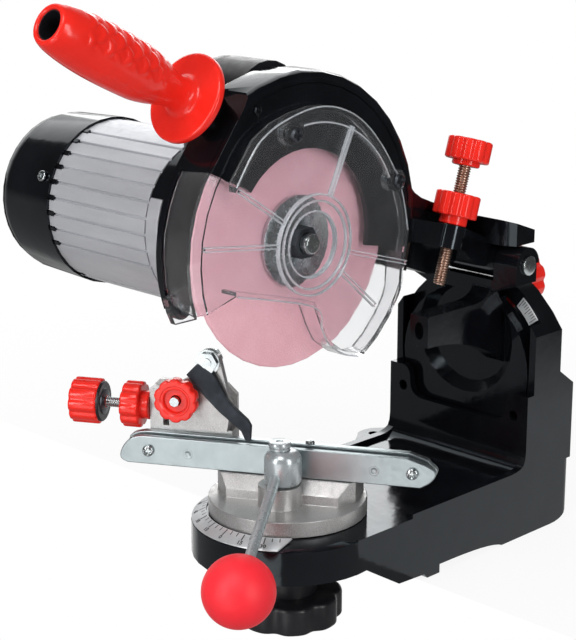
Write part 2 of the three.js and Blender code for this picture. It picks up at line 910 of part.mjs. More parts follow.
// The curved slot through which the lock stud passes
function lockSlot() {
  const spare = slotSpare * degree;
  const half = lockStudRadius + runningGap;
  const first = Math.PI / 2 + spare;
  const last = Math.PI / 2 - tiltRange * degree - spare;
  const slot = new THREE.Shape();
  slot.absarc(0, 0, lockRadius + half, first, last, true);
  slot.absarc(0, 0, lockRadius - half, last, first, false);
  slot.closePath();
  const along = extrudeFront(slot, plateFront - overrun, plateRear + overrun, few);
  const ends = [first, last].map((angle) =>
    rod(half, plateFront - overrun, plateRear + overrun, few, "y").translate(
      lockRadius * Math.cos(angle),
      0,
      tiltHeight + lockRadius * Math.sin(angle),
    ),
  );
  return join(along.translate(0, 0, tiltHeight), ...ends);
}

function baseCasting() {
  const holes = [-wallHoleOffset, wallHoleOffset].map((x) =>
    rod(wallHoleRadius, -plinthFront - overrun, baseRear + overrun, few, "y").translate(x, 0, wallHoleHeight),
  );
  const benchHole = rod(benchHoleRadius, -overrun, deckHeight + overrun, few);
  benchHole.translate(-earReach + benchHoleInset, -earCentre, 0);
  const studHole = rod(clampStudRadius + gap, bossBottom - overrun, bossTop + overrun, coarse);
  studHole.translate(0, -viseReach, 0);
  const knobRoom = rod(bossHubRadius + bossRimWall, -overrun, bossBottom, medium).translate(0, -viseReach, 0);
  const bore = rod(spigotRadius + gap, plateFront - overrun, plateRear + overrun, medium, "y");
  bore.translate(0, 0, tiltHeight);
  const rearBay = boxBetween(
    [-baseHalfWidth + padWidth, plateRear, rearHeelRise],
    [baseHalfWidth - padWidth, baseRear + overrun, padTop + padSlope],
  );
  const body = join(cut(footBody(), footHollow()), benchEar(), columnBody());
  return cut(body, columnRecess(), lockSlot(), bore, studHole, knobRoom, benchHole, rearBay, ...holes);
}
addPiece(base, "base_casting", baseCasting(), blackGloss);

// Angle scale for the vise, on the bevel round the boss
function angleScale() {
  const slope = (bossTop - bossBevelFoot) / (bossRadius - bossSeatRadius);
  const inner = bossSeatRadius + gap;
  const outer = bossRadius - gap;
  const level = (radius) => bossTop - (radius - bossSeatRadius) * slope + gap;
  const profile = [
    [inner, level(inner)],
    [outer, level(outer)],
    [outer, level(outer) + scaleThickness],
    [inner, level(inner) + scaleThickness],
    [inner, level(inner)],
  ];
  const wedge = new THREE.Shape();
  wedge.moveTo(0, 0);
  const reach = bossRadius * 2;
  const sectors = 4;
  for (let i = 0; i <= sectors; i += 1) {
    const angle = (scaleFrom + ((scaleTo - scaleFrom) * i) / sectors) * degree;
    wedge.lineTo(reach * Math.cos(angle), reach * Math.sin(angle));
  }
  wedge.closePath();
  return common(turned(profile, fine), extrudePlan(wedge, 0, bossTop * 2));
}
addPiece(base, "vise_angle_scale", angleScale(), scaleMetal, [0, -viseReach, 0]);

// Tilt index plate, on the right shoulder of the column
function tiltIndexPlate() {
  const inner = discRadius + recessClearance * 2;
  const outer = crownRadius - gap;
  const from = (90 - tiltPlateFrom) * degree;
  const to = (90 - tiltPlateFrom - tiltPlateSweep) * degree;
  const plate = new THREE.Shape();
  plate.absarc(0, 0, outer, from, to, true);
  plate.absarc(0, 0, inner, to, from, false);
  plate.closePath();
  return extrudeFront(plate, plateFront - gap - scaleThickness, plateFront - gap, smallSteps);
}
addPiece(base, "tilt_index_plate", tiltIndexPlate(), scaleMetal, [0, 0, tiltHeight]);

// Tilting bracket: a dished disc in the column's recess, with the anvil arm and the hinge lugs
const hingeRise = hingeHeight - tiltHeight;

function bracketDisc() {
  const disc = rod(discRadius, discFront, plateFront - gap, fine, "y");
  const dish = turned(
    [
      [0, discFront - overrun],
      [dishRadius + overrun / 2, discFront - overrun],
      [dishFloorRadius, discFront + dishDepth],
      [0, discFront + dishDepth],
    ],
    medium,
    "y",
  ).translate(0, 0, dishRise);
  const neck = shapeOf([
    [-neckHalfWidth, 0],
    [neckHalfWidth, 0],
    [neckHalfWidth, hingeRise - lugRadius - bite],
    [-neckHalfWidth, hingeRise - lugRadius - bite],
  ]);
  const boss = rod(lockBossRadius, discFront, neckRear, coarse, "y").translate(0, 0, lockRadius);
  return join(cut(join(disc, extrudeFront(neck, discFront, neckRear)), dish), boss);
}

function hingeLug(from) {
  const rear = plateFront - gap - hingeSetback;
  const lug = new THREE.Shape();
  lug.moveTo(-yokeFront - hingeSetback, -lugRadius - bite);
  lug.lineTo(rear, -lugRadius - bite);
  lug.lineTo(rear, 0);
  lug.absarc(0, 0, lugRadius, 0, Math.PI, false);
  lug.lineTo(-yokeFront - hingeSetback, 0);
  lug.closePath();
  return extrudeSide(lug, from, from + lugWidth, curveSteps).translate(0, hingeSetback, hingeRise);
}

function bracketYoke() {
  const outer = barrelHalfWidth + gap * 2 + lugWidth;
  const foot = hingeRise - lugRadius - bite;
  const top = hingeRise - lugRadius + bite;
  const beam = shapeOf([
    [-outer, foot],
    [-yokeBeamRoot, foot - yokeBeamDrop],
    [yokeBeamRoot, foot - yokeBeamDrop],
    [outer, foot],
    [outer, top],
    [-outer, top],
  ]);
  const root = boxBetween([-neckHalfWidth, -yokeFront, foot - yokeBeamDrop], [neckHalfWidth, neckRear, top]);
  return join(extrudeFront(beam, -yokeFront, yokeBeamRear), root);
}

function anvilArm() {
  const arm = new THREE.Shape();
  const root = discFront + dishDepth + bite;
  arm.moveTo(-anvilReach, anvilTop);
  arm.lineTo(-anvilReach, anvilTop - anvilDepth);
  arm.quadraticCurveTo(-armBend, anvilTop - anvilDepth, root, anvilTop - armRootDepth);
  arm.lineTo(root, anvilTop);
  arm.lineTo(yokeBeamRear, anvilTop);
  arm.lineTo(yokeBeamRear, hingeRise - lugRadius - bite);
  arm.lineTo(-yokeFront + bite, hingeRise - lugRadius - bite);
  arm.quadraticCurveTo(-yokeFront, anvilTop, -armBend, anvilTop);
  arm.closePath();
  const web = extrudeSide(arm, armCentre - armWidth / 2, armCentre + armWidth / 2, curveSteps);
  const socket = new THREE.Shape();
  socket.absellipse(armCentre, anvilTop - anvilDepth / 2, socketWidth / 2, socketHeight / 2, 0, 2 * Math.PI);
  return cut(web, extrudeFront(socket, -anvilReach - overrun, -anvilReach + socketDepth, smallSteps));
}

function tiltBracket() {
  const barrelRoom = rod(
    lugRadius + gap,
    -barrelHalfWidth - gap * 2,
    barrelHalfWidth + gap * 2,
    medium,
    "x",
  ).translate(0, hingeSetback, hingeRise);
  const pinBore = rod(pinRadius + gap, -baseHalfWidth, baseHalfWidth, coarse, "x");
  pinBore.translate(0, hingeSetback, hingeRise);
  const spigot = rod(spigotRadius, plateFront - gap - bite, plateRear, medium, "y");
  const screwBore = rod(pivotScrewRadius + gap, plateRear - pivotScrewLength, plateRear + overrun, few, "y");
  const studBore = rod(lockStudRadius + gap, plateFront - lockStudBite, plateFront + overrun, few, "y");
  studBore.translate(0, 0, lockRadius);
  const lugs = [-barrelHalfWidth - gap * 2 - lugWidth, barrelHalfWidth + gap * 2].map(hingeLug);
  const body = join(bracketDisc(), bracketYoke(), ...lugs, anvilArm(), spigot);
  return cut(body, barrelRoom, pinBore, screwBore, studBore);
}
addPiece(tilting, "tilt_bracket", tiltBracket(), blackGloss);

// Pivot screw and washer that keep the bracket's spigot in the column
function pivotScrew() {
  const seat = plateRear + gap;
  const washer = rod(pivotWasherRadius, seat, seat + washerThickness, medium, "y");
  const face = seat + washerThickness;
  const nose = rod(hexAcross, face - bite, face + hexHeight, hexSides, "y");
  const shank = rod(pivotScrewRadius, plateRear - pivotScrewLength + gap, seat + bite, few, "y");
  return join(washer, nose, shank);
}
addPiece(tilting, "tilt_pivot_screw", pivotScrew(), zincSteel);

// Lock stud, washer and knob of the tilt, behind the column
const tiltLock = new THREE.Group();
tiltLock.position.set(0, 0, lockRadius);
tilting.add(tiltLock);
const tiltKnobSeat = plateRear + gap + washerThickness + gap;
const tiltKnobBore = lockStudRadius + runningGap;
addPiece(
  tiltLock,
  "tilt_lock_washer",
  ring(tiltKnobBore, lockWasherRadius, plateRear + gap, plateRear + gap + washerThickness, coarse, "y"),
  zincSteel,
);
const tiltKnobEnd = tiltKnobSeat + tiltKnobCollar + tiltKnobHeight;
addPiece(
  tiltLock,
  "tilt_lock_stud",
  rod(lockStudRadius, plateFront - lockStudBite + gap, tiltKnobEnd - gap, few, "y"),
  zincSteel,
);
addPiece(
  tiltLock,
  "tilt_lock_knob",
  lobedKnob({
    radius: tiltKnobRadius,
    height: tiltKnobHeight,
    lobes: knobLobes,
    flute: knobFlute * knobFluteWideShare,
    bore: tiltKnobBore,
    collarRadius: knobCollarRadius * knobCollarWideShare,
    collarHeight: tiltKnobCollar,
    recess: knobRecessRadius,
    recessDepth: knobRecessDepth,
  }),
  redPlastic,
  [0, tiltKnobSeat, 0],
  [-Math.PI / 2, 0, 0],
);

// Hinge pin of the head, with its domed end on the right
function hingePin() {
  const reach = barrelHalfWidth + gap * 2 + lugWidth;
  return turned(
    [
      [0, -reach],
      [pinRadius, -reach],
      [pinRadius, reach + gap],
      [pinHeadRadius, reach + gap],
      [pinHeadRadius, reach + gap + pinHeadLength / 2],
      [pinHeadRadius * pinHeadCrownShare, reach + gap + pinHeadLength],
      [0, reach + gap + pinHeadLength],
    ],
    coarse,
    "x",
  );
}
addPiece(tilting, "hinge_pin", hingePin(), zincSteel, [0, hingeSetback, hingeRise]);

// Head casting: hood, back plate, neck, arm, hinge barrel and the boss of the depth screw
function backPlate() {
  const plate = new THREE.Shape();
  plate.absarc(0, 0, plateRadius, plateRearAngle * degree, plateStepAngle * degree, false);
  plate.absarc(0, 0, plateFrontRadius, plateStepAngle * degree, plateFrontAngle * degree, false);
  plate.closePath();
  const far = -housingBack + backPlateThickness;
  const lug = rod(tabSeatRadius, -housingBack, far, coarse, "x").translate(0, ...guardTabScrew);
  return join(extrudeSide(plate, -housingBack, far, coarse), lug);
}

function hoodRim() {
  const soft = rimRound * rimSoftShare;
  const profile = [
    [housingInner, -housingBack],
    [housingRadius - rimRound, -housingBack],
    [housingRadius - soft, -housingBack + soft],
    [housingRadius, -housingBack + rimRound],
    [housingRadius, housingFace - rimRound],
    [housingRadius - soft, housingFace - soft],
    [housingRadius - rimRound, housingFace],
    [housingInner, housingFace],
    [housingInner, -housingBack],
  ];
  const rim = turned(profile, fine, "x");
  return common(rim, extrudeSide(shapeOf(hoodOutline), -housingBack - overrun, housingFace + overrun));
}

function headNeck() {
  const shell = ring(neckShellInner, neckShellOuter, -neckShellEnd, -housingBack + bite, fine, "x");
  const above = boxBetween(
    [-neckShellEnd - overrun, -neckShellOuter - overrun, neckShellFloor],
    [0, neckShellOuter + overrun, neckShellOuter + overrun],
  );
  const disc = rod(neckShellInner + bite, -frontRingFrom + gap, -neckDiscFrom, medium, "x");
  const tube = rod(bearingTubeRadius, -neckDiscFrom - bite, -housingBack + bite, medium, "x");
  return join(common(shell, above), disc, tube);
}

function headArm() {
  const web = extrudeSide(shapeOf(webOutline), -housingBack, webRight);
  const fillet = new THREE.Shape();
  const [root, start, control, end, low, back] = filletOutline;
  fillet.moveTo(...root);
  fillet.lineTo(...start);
  fillet.quadraticCurveTo(...control, ...end);
  fillet.lineTo(...low);
  fillet.lineTo(...back);
  fillet.closePath();
  const ledge = extrudeSide(shapeOf(ledgeOutline), webRight - bite, ledgeRight);
  const half = endBlockHalfWidth;
  const [front, , rear] = endBlockOutline.map(([back]) => back);
  const blockPlan = shapeOf([
    [-half + endBlockCorner, front],
    [half - endBlockCorner, front],
    [half, front + endBlockCorner / 2],
    [half, rear],
    [-half, rear],
    [-half, front + endBlockCorner / 2],
  ]);
  const block = common(
    extrudeSide(shapeOf(endBlockOutline), -half, half),
    extrudePlan(blockPlan, -barrelDrop, 0),
  );
  const barrel = rod(barrelRadius, -barrelLeft, barrelHalfWidth, medium, "x");
  barrel.translate(0, barrelBack, -barrelDrop);
  const filletRib = extrudeSide(fillet, -housingBack, housingFace - rimRound, smallSteps);
  return join(web, filletRib, ledge, block, barrel);
}

// Turns a piece drawn along the depth screw's axis into the head's frame.
function alongDepthScrew(shape) {
  return shape.rotateX(-screwLeanBack * degree).translate(armCentre, screwBossBack, -screwBossDrop);
}

// Turns a piece drawn along the handle's axis into the head's frame.
function alongHandle(shape) {
  return shape.rotateX((90 - handleRaise) * degree).translate(-handleSide, -handleReach, handleRise);
}

function headHousing() {
  const screwBoss = alongDepthScrew(rod(screwBossRadius, -screwBossLength, 0, coarse));
  const handleBoss = alongHandle(rod(handleBossRadius, -handleBossLength, -gap, coarse));
  const solid = join(backPlate(), hoodRim(), headNeck(), headArm(), handleBoss);
  const reach = plateRadius * 2;
  const wheelRoom = rod(housingInner, -housingBack + backPlateThickness, reach, fine, "x");
  const coverSeat = common(
    rod(coverOuter + gap, housingFace - coverThickness - gap, housingFace * 2, fine, "x"),
    boxBetween([0, -reach, ledgeRoomTop - gap], [housingFace * 2, reach, reach]),
  );
  const springSpace = springRadius + springWire + overrun;
  const springRoom = rod(springSpace, -endBlockHalfWidth, -barrelLeft - gap, medium, "x");
  springRoom.translate(0, barrelBack, -barrelDrop);
  const bearingSeat = rod(bearingRadius + gap, -frontRingFrom, -frontBearingFrom + gap, medium, "x");
  const shaftHole = rod(shaftBore, -frontRingFrom, 0, coarse, "x");
  const pinBore = rod(pinRadius + gap, -endBlockHalfWidth, endBlockHalfWidth, coarse, "x");
  pinBore.translate(0, barrelBack, -barrelDrop);
  const stalk = alongHandle(rod(handleStudRadius + gap, -handleStudEnd - handleBossRadius, overrun, coarse));
  const screwHole = alongDepthScrew(rod(depthRodRadius + gap, -depthRodTip, screwBossLength, coarse));
  const tapped = rod(guardScrewShank + gap, -housingBack - overrun, 0, few, "x");
  tapped.translate(0, ...guardTabScrew);
  const coverThread = rod(guardScrewShank + gap, -coverScrewLength, housingFace, few, "x");
  coverThread.translate(0, ...coverScrew);
  const shaped = join(cut(solid, wheelRoom, coverSeat, springRoom), screwBoss);
  return cut(shaped, bearingSeat, shaftHole, pinBore, stalk, screwHole, tapped, coverThread);
}
addPiece(head, "head_housing", headHousing(), blackGloss);

// Black cover over the wheel's upper half, seated in the hood
function wheelCover() {
  const from = housingFace - coverThickness;
  const disc = ring(coverInner, coverOuter, from, housingFace - gap, fine, "x");
  const reach = plateRadius * 2;
  const sector = hoodOutline.map(([back, up]) => [back, up]);
  sector[1] = [reach * Math.cos(coverRearAngle * degree), reach * Math.sin(coverRearAngle * degree)];
  const lug = rod(coverLugRadius, from, housingFace - gap, coarse, "x").translate(0, ...coverScrew);
  const inside = rod(coverOuter, 0, housingFace, fine, "x");
  const holes = [...guardScrews, coverScrew].map((at) =>
    rod(guardScrewShank + gap, 0, housingFace * 2, few, "x").translate(0, ...at),
  );
  const ledgeRoom = common(
    ring(housingInner - gap, reach, 0, housingFace, fine, "x"),
    boxBetween([0, 0, -reach], [housingFace, reach, ledgeRoomTop]),
  );
  const trimmed = common(join(disc, common(lug, inside)), extrudeSide(shapeOf(sector), 0, housingFace));
  return cut(trimmed, ledgeRoom, ...holes);
}
addPiece(head, "wheel_cover", wheelCover(), blackGloss);
addPiece(
  head,
  "cover_screw",
  panScrew(coverScrewRadius, coverScrewHeight, guardScrewShank, coverScrewLength),
  blackGloss,
  [housingFace, ...coverScrew],
  [0, Math.PI / 2, 0],
);

// Handle and its long screw
function handleGrip() {
  const profile = [
    [handleStudRadius + gap, 0],
    ...handleProfile,
    ...handleRidges,
    ...handleTip,
    [handleBoreRadius, handleTip[handleTip.length - 1][1]],
    [handleBoreRadius, handleBoreFloor],
    [handleStudRadius + gap, handleBoreFloor],
    [handleStudRadius + gap, 0],
  ];
  return alongHandle(turned(profile, handleSides));
}
addPiece(head, "handle_grip", handleGrip(), redPlastic);

function handleStud() {
  const profile = [
    [0, -handleStudEnd],
    [handleStudRadius, -handleStudEnd],
    [handleStudRadius, handleBoreFloor + gap],
    [handleHeadRadius, handleBoreFloor + gap],
    [handleHeadRadius, handleBoreFloor + gap + handleHeadLength],
    [0, handleBoreFloor + gap + handleHeadLength],
  ];
  return alongHandle(turned(profile, coarse));
}
addPiece(head, "handle_stud", handleStud(), zincSteel);

// Switch box: an arched cover with a domed left end, seated over the motor's neck
function arch(inset) {
  const radius = boxRadius - inset;
  const profile = [];
  for (let i = 0; i <= domeSteps; i += 1) {
    const angle = (i / domeSteps) * (Math.PI / 2);
    profile.push([radius * Math.sin(angle), -boxDomeFrom - radius * Math.cos(angle)]);
  }
  profile.push([radius, -boxRight - inset], [0, -boxRight - inset]);
  const crown = turned(profile, medium, "x").translate(0, boxMiddle, boxCentreHeight);
  const plan = new THREE.Shape();
  plan.moveTo(-boxRight - inset, boxMiddle - radius);
  plan.lineTo(-boxRight - inset, boxMiddle + radius);
  plan.lineTo(-boxDomeFrom, boxMiddle + radius);
  plan.absarc(-boxDomeFrom, boxMiddle, radius, Math.PI / 2, Math.PI * 1.5, false);
  plan.closePath();
  return join(crown, extrudePlan(plan, boxFloor - inset, boxCentreHeight, domeSteps));
}

const switchSeat = boxMiddle - boxRadius;

// Frame and well of the rocker, moulded with the cover
function switchWell() {
  const wide = rockerWidth / 2;
  const tall = rockerLength / 2;
  const frame = boxBetween(
    [-wide - bezelMargin, -bezelThickness, -tall - bezelMargin],
    [wide + bezelMargin, boxWall, tall + bezelMargin],
  );
  const sleeve = boxBetween(
    [-wide - switchWall, 0, -tall - switchWall],
    [wide + switchWall, switchBodyDepth, tall + switchWall],
  );
  const well = boxBetween(
    [-wide - gap, -bezelThickness * 2, -tall - gap],
    [wide + gap, switchBodyDepth - switchWall, tall + gap],
  );
  const place = [-switchSide, switchSeat, switchHeight];
  return { frame: join(frame, sleeve).translate(place), well: solidOf(well).translate(place) };
}

function switchBox() {
  const neckRoom = rod(boxSeatRadius, -capRadius * 2, 0, fine, "x");
  const glandHole = rod(glandNeck + gap, 0, boxRadius * 2, coarse, "y");
  glandHole.translate(-switchSide, 0, switchHeight);
  const { frame, well } = switchWell();
  return cut(join(cut(arch(0), arch(boxWall), neckRoom), frame), well, glandHole);
}
addPiece(head, "switch_box", switchBox(), blackPlastic);

function switchRocker() {
  const reach = rockerLength / 2 - rockerSpare;
  const side = new THREE.Shape();
  const front = -rockerProud - rockerAxisDepth;
  const keel = reach * rockerKeelShare;
  side.moveTo(front, -reach);
  side.quadraticCurveTo(front + rockerDish * 2, 0, front, reach);
  side.lineTo(rockerDepth - rockerDish, keel);
  side.lineTo(rockerDepth, 0);
  side.lineTo(rockerDepth - rockerDish, -keel);
  side.closePath();
  return extrudeSide(side, -rockerWidth / 2, rockerWidth / 2, smallSteps);
}
addPiece(
  head,
  "switch_rocker",
  switchRocker(),
  redPlastic,
  [-switchSide, switchSeat + rockerAxisDepth, switchHeight],
  [-rockerThrow * degree, 0, 0],
);

function cableGland() {
  const seat = boxMiddle + boxRadius;
  const profile = [
    [glandBore, seat - boxWall],
    [glandNeck, seat - boxWall],
    [glandNeck, seat + gap],
    [glandNut, seat + gap],
    [glandNut, seat + glandNutLength],
    [glandTip + overrun, seat + glandNutLength + overrun],
    [glandTip, seat + glandLength],
    [glandBore, seat + glandLength],
    [glandBore, seat - boxWall],
  ];
  return turned(profile, coarse, "y");
}
addPiece(head, "cable_gland", cableGland(), blackPlastic, [-switchSide, 0, switchHeight]);

// Motor: front ring, grooved body, end cap and the working parts inside
function motorFrontRing() {
  const profile = [
    [frontRingBore, -frontRingFrom],
    [neckShellOuter, -frontRingFrom],
    [neckShellOuter, -motorFrom + gap],
    [motorRadius - motorWall, -motorFrom + gap],
    [motorRadius - motorWall, -frontRingFrom - frontRingThickness],
    [frontRingBore, -frontRingFrom - frontRingThickness],
    [frontRingBore, -frontRingFrom],
  ];
  const outside = neckShellOuter + overrun;
  const shell = ring(neckShellInner - gap, outside, -neckShellEnd - overrun, -neckDiscFrom, fine, "x");
  const above = boxBetween(
    [-neckShellEnd - overrun, -neckShellOuter - overrun, neckShellFloor - gap],
    [0, neckShellOuter + overrun, neckShellOuter + overrun],
  );
  return cut(turned(profile, fine, "x"), common(shell, above));
}
addPiece(head, "motor_front_ring", motorFrontRing(), castSilver);

function grooveAngles() {
  const angles = [];
  for (let field = 0; field < grooveFields; field += 1) {
    for (let i = 0; i < groovesPerField; i += 1) {
      angles.push(grooveStart + (field * 360) / grooveFields + i * groovePitch);
    }
  }
  return angles;
}

// The body's outline with its grooves cut to the given half width
function groovedOutline(mouth, floor) {
  const points = [];
  const put = (angle, radius) => {
    points.push([radius * Math.cos(angle * degree), radius * Math.sin(angle * degree)]);
  };
  const angles = grooveAngles();
  angles.forEach((angle, i) => {
    put(angle - mouth, motorRadius);
    put(angle - floor, motorRadius - grooveDepth);
    put(angle + floor, motorRadius - grooveDepth);
    put(angle + mouth, motorRadius);
    const next = i + 1 < angles.length ? angles[i + 1] : angles[0] + 360;
    const steps = next - angle > groovePitch * 2 ? bandSteps : 1;
    for (let k = 1; k < steps; k += 1) put(angle + ((next - angle) * k) / steps, motorRadius);
  });
  return shapeOf(points);
}

function motorBody() {
  const inner = motorRadius - motorWall;
  const plain = groovedOutline(grooveHalfWidth, grooveFloorHalf);
  const pocketed = groovedOutline(pocketHalfWidth, pocketHalfWidth - gap / 2);
  const length = extrudeSide(plain, -motorTo + pocketLength, -motorFrom);
  const mouth = extrudeSide(pocketed, -motorTo, -motorTo + pocketLength + bite);
  const spigot = rod(spigotOuter, -motorTo - spigotLength, -motorTo + overrun, fine, "x");
  const bore = rod(inner, -motorTo - spigotLength - overrun, 0, fine, "x");
  return cut(join(length, mouth, spigot), bore, ...capScrewHoles());
}

// Radial holes for the end cap's screws
function capScrewHoles() {
  return capScrewAngles.map((angle) => {
    const hole = rod(capScrewShank + gap, motorRadius - motorWall - overrun, capRadius + overrun, few, "y");
    return hole.translate(-capScrewAt, 0, 0).rotateX(angle * degree);
  });
}
addPiece(head, "motor_body", motorBody(), castSilver);

function motorEndCap() {
  const rounded = (radius, end, round) => {
    const points = [];
    for (let i = 0; i <= capRoundSteps; i += 1) {
      const angle = (i / capRoundSteps) * (Math.PI / 2);
      points.push([radius - round + round * Math.sin(angle), -end + round - round * Math.cos(angle)]);
    }
    return points;
  };
  const outside = [
    [0, -capEnd],
    ...rounded(capEndRadius, capEnd, capRound),
    [capRadius, -capFrom - overrun],
    [capRadius, -capFrom],
    [0, -capFrom],
  ];
  const inner = capRadius - capWall;
  const inside = [
    [0, -shaftEnd - overrun],
    [shaftBore, -shaftEnd - overrun],
    [shaftBore, -rearBearingTo - gap],
    [bearingRadius + gap, -rearBearingTo - gap],
    [bearingRadius + gap, -rearBearingFrom + overrun],
    [capBossRadius, -rearBearingFrom + overrun],
    [capBossRadius, -capEnd + capWall],
    [capEndRadius - capRound, -capEnd + capWall],
    [capEndRadius - capWall, -capEnd + capRound],
    [inner, -motorTo - spigotLength - overrun],
    [inner, -capFrom + overrun],
    [0, -capFrom + overrun],
  ];
  const shell = cut(turned(outside, fine, "x"), turned(inside, fine, "x"));
  const fingers = grooveAngles().map((angle) => {
    const low = motorRadius - grooveDepth + gap;
    const finger = boxBetween(
      [-capFrom - bite, low, -fingerWidth / 2],
      [-motorTo + pocketLength - gap, low + fingerHeight, fingerWidth / 2],
    );
    return finger.rotateX(angle * degree);
  });
  return cut(join(shell, ...fingers), ...capScrewHoles());
}
addPiece(head, "motor_end_cap", motorEndCap(), blackGloss);

capScrewAngles.forEach((angle, i) => {
  const screw = panScrew(capScrewRadius, capScrewHeight, capScrewShank, capScrewLength);
  const mesh = addPiece(head, `end_cap_screw_${i + 1}`, screw, zincSteel);
  const turn = angle * degree;
  const seat = capRadius + gap;
  mesh.position.set(-capScrewAt, seat * Math.cos(turn), seat * Math.sin(turn));
  mesh.rotation.set(turn - Math.PI / 2, 0, 0);
});

function stator() {
  const profile = [
    [statorInner, -statorTo - windingLength],
    [windingOuter, -statorTo - windingLength],
    [windingOuter, -statorTo],
    [statorOuter, -statorTo],
    [statorOuter, -statorFrom],
    [windingOuter, -statorFrom],
    [windingOuter, -statorFrom + windingLength],
    [statorInner, -statorFrom + windingLength],
    [statorInner, -statorTo - windingLength],
  ];
  return turned(profile, medium, "x");
}
addPiece(head, "stator", stator(), windingCopper);
const rotorCore = ring(shaftSeatRadius + gap, rotorRadius, -statorTo, -statorFrom, coarse, "x");
addPiece(head, "rotor", rotorCore, darkSteel);

function motorShaft() {
  const profile = [
    [0, -shaftEnd],
    [shaftSeatRadius, -shaftEnd],
    [shaftSeatRadius, -shaftShoulder],
    [shaftRadius, -shaftShoulder],
    [shaftRadius, shaftNose - overrun],
    [shaftRadius - overrun, shaftNose],
    [0, shaftNose],
  ];
  return turned(profile, coarse, "x");
}
addPiece(head, "motor_shaft", motorShaft(), zincSteel);

const bearings = [
  ["front_bearing", frontBearingFrom, frontBearingTo],
  ["rear_bearing", rearBearingFrom, rearBearingTo],
];
for (const [name, from, to] of bearings) {
  addPiece(head, name, ring(shaftSeatRadius + gap, bearingRadius, -to, -from, coarse, "x"), zincSteel);
}

// Grinding wheel between its two flanges
const flangeNear = wheelThickness / 2 + gap;
const flangeFar = flangeNear + wheelFlangeThickness;

function innerFlange() {
  const bore = shaftRadius + gap;
  const profile = [
    [bore, -flangeHubEnd],
    [flangeHubRadius, -flangeHubEnd],
    [flangeHubRadius, -flangeFar],
    [wheelFlangeRadius, -flangeFar],
    [wheelFlangeRadius, -flangeNear],
    [wheelFlangeRadius - flangeRimWidth, -flangeNear],
    [wheelFlangeRadius - flangeRimWidth, -flangeNear - flangeDish],
    [wheelBore - gap, -flangeNear - flangeDish],
    [wheelBore - gap, wheelThickness / 2],
    [bore, wheelThickness / 2],
    [bore, -flangeHubEnd],
  ];
  return turned(profile, medium, "x");
}
addPiece(head, "wheel_inner_flange", innerFlange(), zincSteel);

function grindingWheel() {
  const half = wheelThickness / 2;
  const profile = [
    [wheelBore, -half],
    [wheelRadius - wheelEdge, -half],
    [wheelRadius, -half + wheelEdge],
    [wheelRadius, half - wheelEdge],
    [wheelRadius - wheelEdge, half],
    [wheelBore, half],
    [wheelBore, -half],
  ];
  return turned(profile, fine, "x");
}
addPiece(head, "grinding_wheel", grindingWheel(), pinkGrit);

function outerFlange() {
  const bore = shaftRadius + gap;
  const profile = [
    [bore, flangeNear + flangeDish],
    [wheelFlangeRadius - flangeRimWidth, flangeNear + flangeDish],
    [wheelFlangeRadius - flangeRimWidth, flangeNear],
    [wheelFlangeRadius, flangeNear],
    [wheelFlangeRadius, flangeFar - flangeDish],
    [flangeHubRadius + flangeDish, flangeFar],
    [bore, flangeFar],
    [bore, flangeNear + flangeDish],
  ];
  return turned(profile, medium, "x");
}
addPiece(head, "wheel_outer_flange", outerFlange(), zincSteel);

function wheelNut() {
  const from = flangeFar + gap;
  const body = rod(nutAcross, from, from + nutHeight, hexSides, "x");
  return cut(body, rod(shaftRadius + gap, 0, shaftNose * 2, coarse, "x"));
}
addPiece(head, "wheel_nut", wheelNut(), darkSteel);

// Clear guard: a ribbed face, a curved lobe over the front and a wall round the rest
function inset(points, distance) {
  const count = points.length;
  return points.map(([x, y], i) => {
    const [px, py] = points[(i + count - 1) % count];
    const [nx, ny] = points[(i + 1) % count];
    const before = new THREE.Vector2(x - px, y - py).normalize();
    const after = new THREE.Vector2(nx - x, ny - y).normalize();
    const bend = new THREE.Vector2(before.y + after.y, -before.x - after.x).normalize();
    const spread = Math.max(bend.x * before.y - bend.y * before.x, sharpestShare);
    return [x + (bend.x * distance) / spread, y + (bend.y * distance) / spread];
  });
}

// The guard's outside, or its inside when shrunk by the wall; the lobe is open above and below
function guardSolid(shrink) {
  const hollow = shrink > 0;
  const face = guardFace - shrink;
  const run = hollow ? overrun : 0;
  const reach = housingRadius * 2;
  const lobe = [
    [0, -lobeBack - run],
    [lobeSkirtRadius - shrink, -lobeBack - run],
    [lobeShoulderRadius - shrink, lobeShoulder],
    [lobeFaceRadius - shrink, face],
    [0, face],
  ];
  const outline = extrudeSide(shapeOf(hollow ? inset(guardOutline, shrink) : guardOutline), -reach, face);
  const frontRoom = boxBetween([-lobeBack - run, -reach, -reach], [face, lobeFrom, reach]);
  const front = hollow ? frontRoom : common(frontRoom, outline);
  const upper = boxBetween([guardUpperEdge - run, lobeFrom - bite, guardStep], [face, reach, reach]);
  const lower = boxBetween([guardLowerEdge - run, lobeFrom - bite, -reach], [face, reach, guardStep + bite]);
  return common(join(front, common(join(upper, lower), outline)), turned(lobe, fine, "x"));
}

function guardRib([angle, reach]) {
  const from = guardHubRadius - overrun;
  const rib = boxBetween(
    [guardFace - bite, from, -guardRibWidth / 2],
    [guardFace + guardRibHeight, reach, guardRibWidth / 2],
  );
  return rib.rotateX(angle * degree);
}

